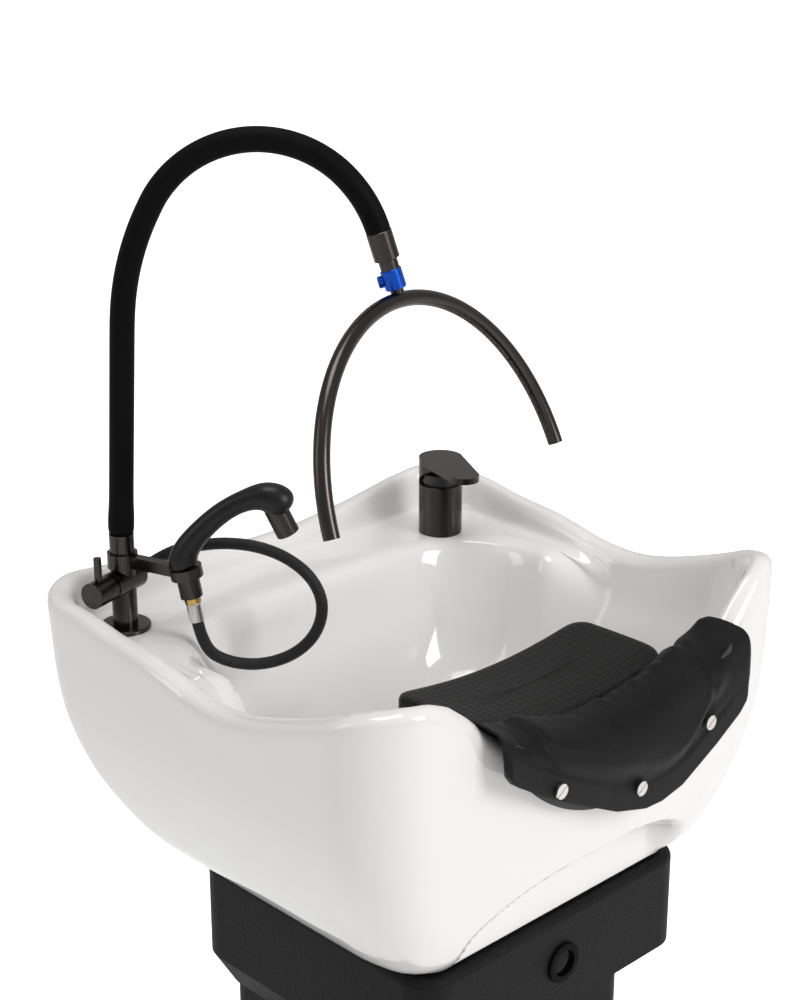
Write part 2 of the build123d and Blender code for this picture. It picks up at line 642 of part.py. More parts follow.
# Mixer: body on the deck with its shank below, a dome that turns and a lever that lifts.
mixer_top = deck_height + mixer_height
mixer_plane = Plane(
    origin=(mixer_x, mixer_y, deck_height),
    x_dir=(cos(radians(mixer_turned)), sin(radians(mixer_turned)), 0),
)
with BuildPart() as mixer_body:
    with BuildSketch(Plane.XY.offset(deck_height)):
        with Locations((mixer_x, mixer_y)):
            Circle(mixer_radius)
    extrude(amount=mixer_height)
    chamfer(mixer_body.edges(), 0.6)
    with BuildSketch(Plane.XY.offset(deck_height)):
        with Locations((mixer_x, mixer_y)):
            Circle(shank_radius)
    extrude(amount=-ceramic - shank_length)
    with BuildSketch(Plane.XY.offset(mixer_top)):
        with Locations((mixer_x, mixer_y)):
            Circle(spindle_radius + spindle_clearance)
    extrude(amount=-spindle_length - 1, mode=Mode.SUBTRACT)
save("mixer_body", mixer_body.part)

with BuildPart() as deck_washers:
    for x, y, radius in ((mixer_x, mixer_y, shank_radius), (post_x, post_y, post_shank_radius)):
        with BuildSketch(Plane.XY.offset(deck_height - ceramic - washer_height)):
            with Locations((x, y)):
                Circle(radius + washer_extra)
                Circle(radius, mode=Mode.SUBTRACT)
        extrude(amount=washer_height)
save("deck_washers", deck_washers.part)

with BuildPart() as deck_nuts:
    for x, y, radius in ((mixer_x, mixer_y, shank_radius), (post_x, post_y, post_shank_radius)):
        with BuildSketch(Plane.XY.offset(deck_height - ceramic - washer_height - nut_height)):
            with Locations((x, y)):
                RegularPolygon(radius + nut_extra, 6)
                Circle(radius, mode=Mode.SUBTRACT)
        extrude(amount=nut_height)
save("deck_nuts", deck_nuts.part)

with BuildPart() as mixer_dome:
    with BuildSketch(Plane.XY.offset(mixer_top + dome_gap)):
        with Locations((mixer_x, mixer_y)):
            Circle(dome_radius)
    extrude(amount=dome_height)
    fillet(mixer_dome.faces().sort_by(Axis.Z)[-1].edges(), 2)
    with BuildSketch(Plane.XY.offset(mixer_top + dome_gap)):
        with Locations((mixer_x, mixer_y)):
            Circle(spindle_radius)
    extrude(amount=-spindle_length)
save("mixer_dome", mixer_dome.part)

# The lever's cap covers the dome; its plate reaches forward, over a scooped underside.
lever_bottom = mixer_height + lever_gap
lever_top = mixer_height + lever_gap + lever_height
with BuildPart() as mixer_lever:
    with BuildSketch(mixer_plane.offset(lever_bottom)):
        Circle(mixer_radius)
    extrude(amount=lever_height)
    with BuildSketch(mixer_plane.offset(lever_top - lever_plate)):
        with BuildLine():
            Line((0, mixer_radius), (lever_reach - lever_tip_radius, lever_tip_radius))
            ThreePointArc(
                (lever_reach - lever_tip_radius, lever_tip_radius), (lever_reach, 0),
                (lever_reach - lever_tip_radius, -lever_tip_radius),
            )
            Line((lever_reach - lever_tip_radius, -lever_tip_radius), (0, -mixer_radius))
            Line((0, -mixer_radius), (0, mixer_radius))
        make_face()
    extrude(amount=lever_plate)
    with BuildSketch(mixer_plane.offset(lever_bottom)):
        Circle(dome_radius + dome_clearance)
    extrude(amount=lever_height - lever_plate, mode=Mode.SUBTRACT)
    lever_side = Plane(origin=mixer_plane.origin, x_dir=mixer_plane.x_dir, z_dir=-mixer_plane.y_dir)
    with BuildSketch(lever_side):
        with BuildLine():
            low, high = lever_bottom, lever_top - lever_plate
            ThreePointArc(
                (-0.3 * mixer_radius, low), (0.35 * mixer_radius, mix(low, high, 0.62)),
                (1.6 * mixer_radius, high),
            )
            Line((1.6 * mixer_radius, high), (1.6 * mixer_radius, low))
            Line((1.6 * mixer_radius, low), (-0.3 * mixer_radius, low))
        make_face()
    extrude(amount=2 * mixer_radius, both=True, mode=Mode.SUBTRACT)
save("mixer_lever", mixer_lever.part)

# Diverter post: flange on the deck, post through it, cross valve, neck for the holder's clamp.
post_plane = Plane(
    origin=(post_x, post_y, 0), x_dir=(cos(radians(post_turned)), sin(radians(post_turned)), 0),
)
valve_plane = Plane(origin=(post_x, post_y, valve_height), x_dir=(0, 0, 1), z_dir=post_plane.x_dir)
with BuildPart() as post_flange:
    with BuildSketch(post_plane.offset(deck_height)):
        Circle(flange_radius)
    extrude(amount=flange_height)
    chamfer(post_flange.faces().sort_by(Axis.Z)[-1].edges(), 1)
    with BuildSketch(post_plane.offset(deck_height)):
        Circle(post_radius)
    extrude(amount=flange_height, mode=Mode.SUBTRACT)
save("post_flange", post_flange.part)

with BuildPart() as diverter_post:
    with BuildSketch(post_plane.offset(deck_height)):
        Circle(post_radius)
    extrude(amount=neck_bottom - deck_height)
    with BuildSketch(post_plane.offset(shank_bottom)):
        Circle(post_shank_radius)
    extrude(amount=deck_height - shank_bottom)
    with BuildSketch(post_plane.offset(neck_bottom)):
        Circle(neck_radius)
    extrude(amount=neck_top - neck_bottom)
    with BuildSketch(post_plane.offset(neck_top)):
        Circle(stub_radius)
    extrude(amount=stub_top - neck_top)
    with BuildSketch(valve_plane.offset(-valve_left)):
        Circle(valve_radius)
    extrude(amount=valve_left + valve_right)
    with BuildSketch(valve_plane.offset(-valve_left)):
        Circle(spindle_radius + spindle_clearance)
    extrude(amount=handle_spindle, mode=Mode.SUBTRACT)
    fillet(diverter_post.faces().sort_by(Axis(post_plane.origin, post_plane.x_dir))[-1].edges(), 3)
save("diverter_post", diverter_post.part)

# Handle of the diverter, with its pin, turns about the valve's axis.
with BuildPart() as diverter_handle:
    with BuildSketch(valve_plane.offset(-valve_left - handle_gap)):
        Circle(handle_radius)
    extrude(amount=-handle_length)
    fillet(diverter_handle.edges(), 0.8)
    with BuildSketch(valve_plane.offset(-valve_left - handle_gap)):
        Circle(spindle_radius)
    extrude(amount=handle_spindle)
save("diverter_handle", diverter_handle.part)

pin_offset = -valve_left - handle_gap - handle_length + lever_pin_inset
pin_seat = valve_plane.origin + valve_plane.z_dir * pin_offset
with BuildPart() as diverter_pin:
    with BuildSketch(Plane(origin=pin_seat, z_dir=(0, 0, 1))):
        Circle(lever_pin_radius)
    extrude(amount=handle_radius + lever_pin_length)
    fillet(diverter_pin.faces().sort_by(Axis.Z)[-1].edges(), 0.8)
    add(diverter_handle.part, mode=Mode.SUBTRACT)
save("diverter_pin", diverter_pin.part)

# Hose outlet: a short stub that leaves the valve towards the hose.
outlet_seat = valve_plane.origin + valve_plane.z_dir * outlet_x
outlet_direction = (Vector(*hose_end) - outlet_seat).normalized()
outlet_length = (Vector(*hose_end) - outlet_seat).length
with BuildPart() as hose_outlet:
    with BuildSketch(Plane(origin=outlet_seat, z_dir=outlet_direction)):
        Circle(outlet_radius)
    extrude(amount=outlet_length - hose_gap)
    add(diverter_post.part, mode=Mode.SUBTRACT)
save("hose_outlet", hose_outlet.part)

# Holder: a clamp round the neck of the post, a bar, and a leaning ring with a cup below it.
outward = Vector(cos(radians(sweep_azimuth)), sin(radians(sweep_azimuth)), 0)
lean = radians(holder_lean)
holder_axis = Vector(0, 0, 1) * cos(lean) - outward * sin(lean)
holder_plane = Plane(
    origin=(holder_x, holder_y, holder_height), x_dir=outward * cos(lean) + Vector(0, 0, 1) * sin(lean),
    z_dir=holder_axis,
)
arm_middle = mix(neck_bottom, neck_top, 0.5)
arm_direction = Vector(holder_x - post_x, holder_y - post_y, 0)
arm_angle = degrees(asin(arm_direction.Y / arm_direction.length))
with BuildPart() as holder_arm:
    with BuildSketch(Plane.XY.offset(neck_bottom)):
        with Locations((post_x, post_y)):
            Circle(clamp_radius)
    extrude(amount=neck_top - neck_bottom)
    with BuildSketch(Plane.XY.offset(arm_middle - arm_height / 2)):
        with Locations(((post_x + holder_x) / 2, (post_y + holder_y) / 2)):
            Rectangle(arm_direction.length, arm_width, rotation=arm_angle)
    extrude(amount=arm_height)
    with BuildSketch(holder_plane):
        Circle(ring_radius)
    extrude(amount=-ring_height)
    with BuildSketch(holder_plane.offset(-ring_height)):
        Circle(cup_radius)
    extrude(amount=-cup_length)
    with BuildSketch(holder_plane):
        Circle(ring_radius)
    extrude(amount=2 * ring_height, mode=Mode.SUBTRACT)
    with BuildSketch(holder_plane):
        Circle(cup_bore)
    extrude(amount=-ring_height - cup_length, mode=Mode.SUBTRACT)
    with BuildSketch(Plane.XY.offset(neck_bottom)):
        with Locations((post_x, post_y)):
            Circle(neck_radius)
    extrude(amount=neck_top - neck_bottom, mode=Mode.SUBTRACT)
save("holder_arm", holder_arm.part)

# Hand shower: grip that sweeps over into a round head, nozzle, stem, brass nut and hose ferrule.
def leaning(reach, rise, lean_angle):
    """Plane across the hand shower at a reach and a rise from its seat, facing along its grip."""
    centre = Vector(holder_x, holder_y, holder_height) + outward * reach + Vector(0, 0, rise)
    facing = outward * sin(radians(lean_angle)) + Vector(0, 0, 1) * cos(radians(lean_angle))
    return Plane(origin=centre, x_dir=outward.cross(Vector(0, 0, 1)), z_dir=facing)


def disc(plane, radius):
    with BuildSketch(plane) as drawn:
        Circle(radius)
    return drawn.sketch


grip_stations = [disc(holder_plane, grip_sections[0][3])]
grip_stations += [
    disc(leaning(reach, rise, lean_angle), radius) for reach, rise, lean_angle, radius in grip_sections[1:]
]
head_plane = leaning(grip_head_reach, grip_head_rise, 180 - nozzle_lean)
grip_stations.append(disc(leaning(grip_head_reach - 15, grip_head_rise + 3, 76), grip_head_radius - 3))
with BuildPart() as shower_grip:
    loft(grip_stations)
    with Locations(head_plane.origin):
        Sphere(grip_head_radius)
    with BuildSketch(head_plane):
        Circle(grip_head_radius)
    extrude(amount=grip_head_long - grip_head_radius)
    with BuildSketch(head_plane.offset(nozzle_top)):
        Circle(nozzle_radius)
    extrude(amount=nozzle_length, mode=Mode.SUBTRACT)
save("shower_grip", shower_grip.part)

with BuildPart() as shower_nozzle:
    with BuildSketch(head_plane.offset(nozzle_top)):
        Circle(nozzle_radius)
    extrude(amount=nozzle_length)
    chamfer(shower_nozzle.edges(), 0.5)
    with BuildSketch(head_plane.offset(nozzle_top + nozzle_length - nozzle_bore_depth)):
        Circle(nozzle_bore)
    extrude(amount=nozzle_bore_depth, mode=Mode.SUBTRACT)
save("shower_nozzle", shower_nozzle.part)

stem_length = ring_height + cup_length + 1
with BuildPart() as shower_stem:
    with BuildSketch(holder_plane):
        Circle(stem_radius)
    extrude(amount=-stem_length)
save("shower_stem", shower_stem.part)

with BuildPart() as shower_tail_nut:
    with BuildSketch(holder_plane.offset(-stem_length)):
        RegularPolygon(tail_nut_radius, 6)
    extrude(amount=-tail_nut_height)
save("shower_tail_nut", shower_tail_nut.part)

with BuildPart() as shower_ferrule:
    with BuildSketch(holder_plane.offset(-stem_length - tail_nut_height)):
        Circle(ferrule_radius)
    extrude(amount=-ferrule_length)
    fillet(shower_ferrule.edges(), 0.8)
save("shower_ferrule", shower_ferrule.part)

hose_start = holder_plane.origin - holder_axis * (stem_length + tail_nut_height + ferrule_length + hose_gap)
whole_route = [tuple(hose_start), *hose_route, hose_end]
save("shower_hose", tube_along(whole_route, hose_radius))
print("hose radii", [round(radius, 1) for radius in corner_radii(whole_route)])
print("hose start", tuple(round(value, 2) for value in hose_start))

# Flexible arm: a socket that turns on the post, the sleeved arm, and its lower ferrule.
with BuildPart() as arm_socket:
    with BuildSketch(Plane.XY.offset(neck_top + socket_gap)):
        with Locations((post_x, post_y)):
            Circle(socket_radius)
    extrude(amount=socket_top - neck_top - socket_gap)
    with BuildSketch(Plane.XY.offset(neck_top + socket_gap)):
        with Locations((post_x, post_y)):
            Circle(stub_radius + stub_clearance)
    extrude(amount=stub_top + 1 - neck_top - socket_gap, mode=Mode.SUBTRACT)
save("arm_socket", arm_socket.part)

sleeve_bottom = socket_top + sleeve_radius * sin(radians(swan_lean))
swan_plane = Plane(
    origin=(post_x, post_y, sleeve_bottom), x_dir=outward, z_dir=outward.cross(Vector(0, 0, 1)),
)
(first_radius, first_turn), (second_radius, second_turn), (third_radius, third_turn) = swan_bends
with BuildPart() as arm_sleeve:
    with BuildLine(swan_plane) as swan_line:
        rise = Line(
            (0, 0), (swan_straight * sin(radians(swan_lean)), swan_straight * cos(radians(swan_lean))),
        )
        first = JernArc(rise @ 1, rise % 1, first_radius, -first_turn)
        second = JernArc(first @ 1, first % 1, second_radius, -second_turn)
        JernArc(second @ 1, second % 1, third_radius, -third_turn)
    with BuildSketch(Plane(origin=swan_line.line @ 0, z_dir=swan_line.line % 0)):
        Circle(sleeve_radius)
    sweep(path=swan_line.line)
save("arm_sleeve", arm_sleeve.part)

down = (swan_line.line % 1).normalized()
drop = Plane(origin=swan_line.line @ 1, x_dir=down.cross(Vector(0, 0, 1)), z_dir=down)
with BuildPart() as arm_ferrule:
    with BuildSketch(drop):
        Circle(end_ferrule_radius)
    extrude(amount=end_ferrule_length)
    chamfer(arm_ferrule.edges(), 0.5)
    with BuildSketch(drop.offset(end_ferrule_length)):
        Circle(knurl_radius)
    extrude(amount=knurl_length)
save("arm_ferrule", arm_ferrule.part)

# Coupler: a blue body with a push button on its side; the arch's nipple turns in it.
coupler_top = end_ferrule_length + knurl_length
side_way = down.cross(outward.cross(Vector(0, 0, 1))).normalized()
button_seat = drop.offset(coupler_top + coupler_length / 2).origin
button_plane = Plane(origin=button_seat, z_dir=side_way)
button_bottom = nipple_radius + 1
with BuildPart() as coupler_body:
    with BuildSketch(drop.offset(coupler_top)):
        Circle(coupler_radius)
    extrude(amount=coupler_length)
    chamfer(coupler_body.edges(), 0.8)
    with BuildSketch(drop.offset(coupler_top + 2)):
        Circle(nipple_radius + nipple_clearance)
    extrude(amount=coupler_length, mode=Mode.SUBTRACT)
    with BuildSketch(button_plane.offset(button_bottom)):
        Circle(button_radius + button_clearance)
    extrude(amount=2 * coupler_radius, mode=Mode.SUBTRACT)
save("coupler_body", coupler_body.part)

with BuildPart() as coupler_button:
    with BuildSketch(button_plane.offset(button_bottom + button_travel + 0.2)):
        Circle(button_radius)
    extrude(amount=coupler_radius + button_proud - button_bottom - button_travel - 0.2)
    chamfer(coupler_button.edges(), 0.6)
save("coupler_button", coupler_button.part)

# Water arch: bent tube with spray holes along its underside, end plugs, and a collar and nipple.
crown = drop.offset(coupler_top + 3 + nipple_length + arch_tube - 1).origin
side_axis = Vector(*arch_side).normalized()
up_axis = Vector(*arch_up)
up_axis = (up_axis - side_axis * up_axis.dot(side_axis)).normalized()
arch_plane = Plane(origin=crown - up_axis * arch_radius, x_dir=side_axis, z_dir=side_axis.cross(up_axis))


def arch_point(angle, radius):
    """Point of the arch's plane at an angle from its crown."""
    return arch_plane.from_local_coords((radius * sin(radians(angle)), radius * cos(radians(angle))))


def arch_cut(angle):
    """Plane across the arch at an angle from its crown."""
    along = side_axis * cos(radians(angle)) - up_axis * sin(radians(angle))
    return Plane(origin=arch_point(angle, arch_radius), z_dir=along)


arch_start, arch_middle, arch_end = (
    arch_point(angle, arch_radius) for angle in (-arch_half_angle, 0, arch_half_angle)
)
with BuildPart() as arch_core:
    with BuildLine() as arch_line:
        ThreePointArc(arch_start, arch_middle, arch_end)
    with BuildSketch(arch_cut(-arch_half_angle)):
        Circle(arch_tube)
    sweep(path=arch_line.line)

with BuildPart() as arch_pipe:
    add(arch_core.part)
    with BuildLine() as arch_line:
        ThreePointArc(arch_start, arch_middle, arch_end)
    with BuildSketch(arch_cut(-arch_half_angle)):
        Circle(arch_tube - arch_wall)
    sweep(path=arch_line.line, mode=Mode.SUBTRACT)
    for index in range(jet_count):
        angle = jet_spread * (index / (jet_count - 1) - 0.5)
        inward = (arch_plane.origin - arch_point(angle, arch_radius)).normalized()
        with BuildSketch(Plane(origin=arch_point(angle, arch_radius), z_dir=inward)):
            Circle(jet_radius)
        extrude(amount=2 * arch_tube, mode=Mode.SUBTRACT)
save("arch_pipe", arch_pipe.part)

with BuildPart() as arch_plugs:
    for angle, way in ((-arch_half_angle, 1), (arch_half_angle, -1)):
        with BuildSketch(arch_cut(angle)):
            Circle(arch_tube - arch_wall - plug_clearance)
        extrude(amount=way * plug_length)
save("arch_plugs", arch_plugs.part)

with BuildPart() as arch_nipple:
    with BuildSketch(drop.offset(coupler_top + 3)):
        Circle(nipple_radius)
    extrude(amount=nipple_length)
    with BuildSketch(drop.offset(coupler_top + coupler_length + collar_gap)):
        Circle(collar_radius)
    extrude(amount=nipple_length + 3 - coupler_length)
    add(arch_core.part, mode=Mode.SUBTRACT)
save("arch_nipple", arch_nipple.part)

# Head rest: a bent strap that hangs over the front notch and carries a plate inside the bowl.
strap_outer, strap_inner = notch_radius - strap_gap, notch_radius - strap_gap - strap_thickness
plate_bottom = rest_top - rest_thickness - cushion_gap - cradle_thickness
lip_front, hook_back = rest_front + 4, rim_front + rim_bow + 0.5


def arc_height(x, radius):
    """Height at X of an arc round the notch's centre."""
    return notch_centre - sqrt(radius**2 - x**2)


def arc_band(front, half_width, outer, inner):
    """Band between two arcs round the notch's centre, drawn at a depth in front."""
    with BuildSketch(Plane.XZ.offset(front)) as drawn:
        with BuildLine():
            low, high = arc_height(half_width, outer), arc_height(half_width, inner)
            ThreePointArc((-half_width, low), (0, notch_centre - outer), (half_width, low))
            Line((half_width, low), (half_width, high))
            ThreePointArc((half_width, high), (0, notch_centre - inner), (-half_width, high))
            Line((-half_width, high), (-half_width, low))
        make_face()
    return drawn.sketch


def under_arc(front, half_width, radius, ends, low):
    """Area under an arc round the notch's centre, down to a hem, drawn at a depth in front."""
    with BuildSketch(Plane.XZ.offset(front)) as drawn:
        with BuildLine():
            high = arc_height(half_width, radius)
            if ends > low:
                ThreePointArc((-half_width, ends), (0, low), (half_width, ends))
            else:
                Line((-half_width, ends), (half_width, ends))
            Line((half_width, ends), (half_width, high))
            ThreePointArc((half_width, high), (0, notch_centre - radius), (-half_width, high))
            Line((-half_width, high), (-half_width, ends))
        make_face()
    return drawn.sketch


strap_middle = strap_inner + strap_thickness / 2
hook_bottom = notch_low - hook_drop
with BuildPart() as rest_cradle:
    plate_front, plate_back = rest_front - 2 * cradle_margin, rest_back + 2 * cradle_margin
    with BuildSketch(Plane.XY.offset(plate_bottom)):
        with Locations((0, -(plate_front + plate_back) / 2)):
            RectangleRounded(cradle_width, plate_front - plate_back, 12)
        with Locations((0, -(lip_front - 1 + plate_back) / 2)):
            Rectangle(2 * strap_half_width - 4, lip_front - 1 - plate_back)
    extrude(amount=cradle_thickness)
    extrude(
        arc_band(lip_front - cradle_thickness, strap_half_width, strap_outer, strap_inner),
        amount=hook_back + strap_thickness - lip_front + cradle_thickness,
    )
    extrude(
        under_arc(lip_front - cradle_thickness, strap_half_width, strap_middle, plate_bottom, plate_bottom),
        amount=cradle_thickness,
    )
    extrude(
        under_arc(hook_back, strap_half_width, strap_middle, hook_bottom, hook_bottom),
        amount=strap_thickness,
    )
save("rest_cradle", rest_cradle.part)

# Head rest cushion: hollowed along its middle, lies on the plate.
hollow_radius = ((rest_width / 2) ** 2 + rest_hollow**2) / (2 * rest_hollow)
with BuildPart() as rest_cushion:
    add(rectangle(rest_top - rest_thickness, rest_width / 2, rest_front, -rest_back, rest_corner))
    extrude(amount=rest_thickness)
    with BuildSketch(Plane.XZ):
        with Locations((0, rest_top - rest_hollow + hollow_radius)):
            Circle(hollow_radius)
    extrude(amount=rim_back, mode=Mode.SUBTRACT)
save("rest_cushion", rest_cushion.part)

# Neck cushion: thick band over the notch with a flap down the front, stiffened by a plate.
neck_bottom_arc = strap_inner - neck_gap
neck_top_arc = neck_bottom_arc - neck_thickness
flap_front = flap_back + flap_thickness


def stud_circles(front, radius):
    with BuildSketch(Plane.XZ.offset(front)) as drawn:
        with Locations(*stud_spots):
            Circle(radius)
    return drawn.sketch


def level_cut(height):
    """Area at a height that covers the whole neck cushion."""
    with BuildSketch(Plane.XY.offset(height)) as drawn:
        Rectangle(2 * flap_half_width + 2, 2 * neck_outer + 2)
    return drawn.sketch


with BuildPart() as neck_cushion:
    extrude(
        arc_band(neck_inner, neck_half_width, neck_bottom_arc, neck_top_arc),
        amount=neck_outer - neck_inner,
    )
    extrude(
        under_arc(flap_back, flap_half_width, neck_top_arc + 2, flap_ends, flap_low), amount=flap_thickness,
    )
    extrude(stud_circles(flap_back, stud_shank), amount=flap_thickness, mode=Mode.SUBTRACT)
    extrude(level_cut(neck_cap), amount=rim_clear - neck_cap, mode=Mode.SUBTRACT)
save("neck_cushion", neck_cushion.part)

with BuildPart() as neck_backing:
    backing_ends, backing_low = flap_ends + 2.6 * backing_margin, flap_low + backing_margin
    backing_back = flap_back - backing_thickness
    extrude(
        under_arc(backing_back, backing_half_width, neck_bottom_arc + neck_gap, backing_ends, backing_low),
        amount=backing_thickness,
    )
    extrude(stud_circles(backing_back, stud_shank), amount=backing_thickness, mode=Mode.SUBTRACT)
    extrude(level_cut(neck_cap - backing_drop), amount=rim_clear - neck_cap, mode=Mode.SUBTRACT)
save("neck_backing", neck_backing.part)

with BuildPart() as neck_studs:
    extrude(
        stud_circles(flap_back - backing_thickness, stud_shank), amount=backing_thickness + flap_thickness,
    )
    extrude(stud_circles(flap_front, stud_radius), amount=stud_head)
    with BuildSketch(Plane.XZ.offset(flap_front + stud_head - 1)):
        with Locations(*stud_spots):
            Rectangle(2 * stud_radius, 1.4, rotation=35)
    extrude(amount=1, mode=Mode.SUBTRACT)
save("neck_studs", neck_studs.part)
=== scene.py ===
import bpy, bmesh, json, math
import numpy as np
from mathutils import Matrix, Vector


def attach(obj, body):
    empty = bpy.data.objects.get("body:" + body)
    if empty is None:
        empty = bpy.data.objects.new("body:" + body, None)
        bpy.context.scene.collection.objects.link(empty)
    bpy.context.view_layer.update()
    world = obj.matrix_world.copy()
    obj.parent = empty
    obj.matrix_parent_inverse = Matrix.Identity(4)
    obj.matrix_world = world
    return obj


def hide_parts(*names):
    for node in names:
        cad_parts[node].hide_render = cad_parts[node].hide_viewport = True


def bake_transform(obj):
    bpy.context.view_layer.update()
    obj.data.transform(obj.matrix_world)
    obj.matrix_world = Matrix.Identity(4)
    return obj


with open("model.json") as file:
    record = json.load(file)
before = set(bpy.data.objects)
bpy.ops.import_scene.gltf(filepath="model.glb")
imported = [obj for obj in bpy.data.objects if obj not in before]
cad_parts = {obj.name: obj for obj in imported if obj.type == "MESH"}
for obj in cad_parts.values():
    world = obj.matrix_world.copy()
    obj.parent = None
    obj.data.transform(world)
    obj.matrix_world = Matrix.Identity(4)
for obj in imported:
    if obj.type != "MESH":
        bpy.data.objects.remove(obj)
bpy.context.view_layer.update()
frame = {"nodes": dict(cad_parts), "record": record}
MM = 0.001


# ---------------------------------------------------------------- camera and hose
camera_data = bpy.data.cameras.new("camera")
camera = bpy.data.objects.new("camera", camera_data)
bpy.context.collection.objects.link(camera)
camera_data.sensor_width = 36
camera_data.sensor_fit = "AUTO"
camera_data.lens = 69.2
camera_data.clip_end = 100
pitch = math.radians(19.5)
forward = Vector((0.695 * math.cos(pitch), 0.719 * math.cos(pitch), -math.sin(pitch))).normalized()
camera.location = (-1.290, -1.27125, 1.700)
camera.rotation_euler = forward.to_track_quat("-Z", "Y").to_euler()
bpy.context.scene.camera = camera

HOSE_ROUTE = [
    (-0.20164, 0.14680, 0.94260), (-0.198, 0.143, 0.913), (-0.175, 0.135, 0.893), (-0.147, 0.115, 0.887),
    (-0.119, 0.095, 0.896), (-0.099, 0.082, 0.918), (-0.090, 0.081, 0.948), (-0.096, 0.092, 0.976),
    (-0.111, 0.113, 0.996), (-0.129, 0.138, 1.006), (-0.149, 0.164, 1.008), (-0.168, 0.189, 1.003),
    (-0.185, 0.211, 0.995), (-0.199, 0.220, 0.985),
]
HOSE_RADIUS = 0.0061


def hose_line():
    """Smooth line of the hose: a NURBS curve through its route, read back as points."""
    data = bpy.data.curves.new("hose_line", "CURVE")
    data.dimensions = "3D"
    spline = data.splines.new("NURBS")
    spline.points.add(len(HOSE_ROUTE) - 1)
    for point, place in zip(spline.points, HOSE_ROUTE):
        point.co = (*place, 1)
    spline.order_u = 3
    spline.use_endpoint_u = True
    data.resolution_u = 14
    line = bpy.data.objects.new("hose_line", data)
    bpy.context.collection.objects.link(line)
    mesh = bpy.data.meshes.new_from_object(line)
    points = [Vector(vertex.co) for vertex in mesh.vertices]
    bpy.data.objects.remove(line)
    bpy.data.meshes.remove(mesh)
    return points


def tube_mesh(name, points, radii, sides=24):
    """Closed tube along points, with a UV map that counts metres along it and turns round it."""
    across = (points[1] - points[0]).orthogonal().normalized()
    rings, lengths, travelled = [], [], 0.0
    for index, point in enumerate(points):
        before, after = points[max(index - 1, 0)], points[min(index + 1, len(points) - 1)]
        tangent = (after - before).normalized()
        across = (across - tangent * across.dot(tangent)).normalized()
        other = tangent.cross(across)
        travelled += (point - before).length
        lengths.append(travelled)
        turns = [2 * math.pi * step / sides for step in range(sides)]
        rings.append([point + (across * math.cos(t) + other * math.sin(t)) * radii[index] for t in turns])
    work = bmesh.new()
    uv = work.loops.layers.uv.new("UVMap")
    rows = [[work.verts.new(place) for place in ring] for ring in rings]
    for i in range(len(rows) - 1):
        for j in range(sides):
            k = (j + 1) % sides
            face = work.faces.new((rows[i][j], rows[i][k], rows[i + 1][k], rows[i + 1][j]))
            face.smooth = True
            for loop, (u, v) in zip(face.loops, ((i, j), (i, j + 1), (i + 1, j + 1), (i + 1, j))):
                loop[uv].uv = (lengths[u], v / sides)
    work.faces.new(list(reversed(rows[0])))
    work.faces.new(rows[-1])
    bmesh.ops.recalc_face_normals(work, faces=work.faces)
    mesh = bpy.data.meshes.new(name)
    work.to_mesh(mesh)
    work.free()
    piece = bpy.data.objects.new(name, mesh)
    bpy.context.collection.objects.link(piece)
    return piece


HOSE_LINE = hose_line()
hose = tube_mesh("shower_hose_braid", HOSE_LINE, [HOSE_RADIUS] * len(HOSE_LINE))


# ---------------------------------------------------------------- shader maths
class Value:
    """A number or colour in a material, that adds its own maths nodes."""

    def __init__(self, shader, socket):
        self.shader, self.socket = shader, socket

    def __add__(self, other): return self.shader.maths("ADD", self, other)
    def __radd__(self, other): return self.shader.maths("ADD", other, self)
    def __sub__(self, other): return self.shader.maths("SUBTRACT", self, other)
    def __rsub__(self, other): return self.shader.maths("SUBTRACT", other, self)
    def __mul__(self, other): return self.shader.maths("MULTIPLY", self, other)
    def __rmul__(self, other): return self.shader.maths("MULTIPLY", other, self)
    def __truediv__(self, other): return self.shader.maths("DIVIDE", self, other)
    def __pow__(self, other): return self.shader.maths("POWER", self, other)


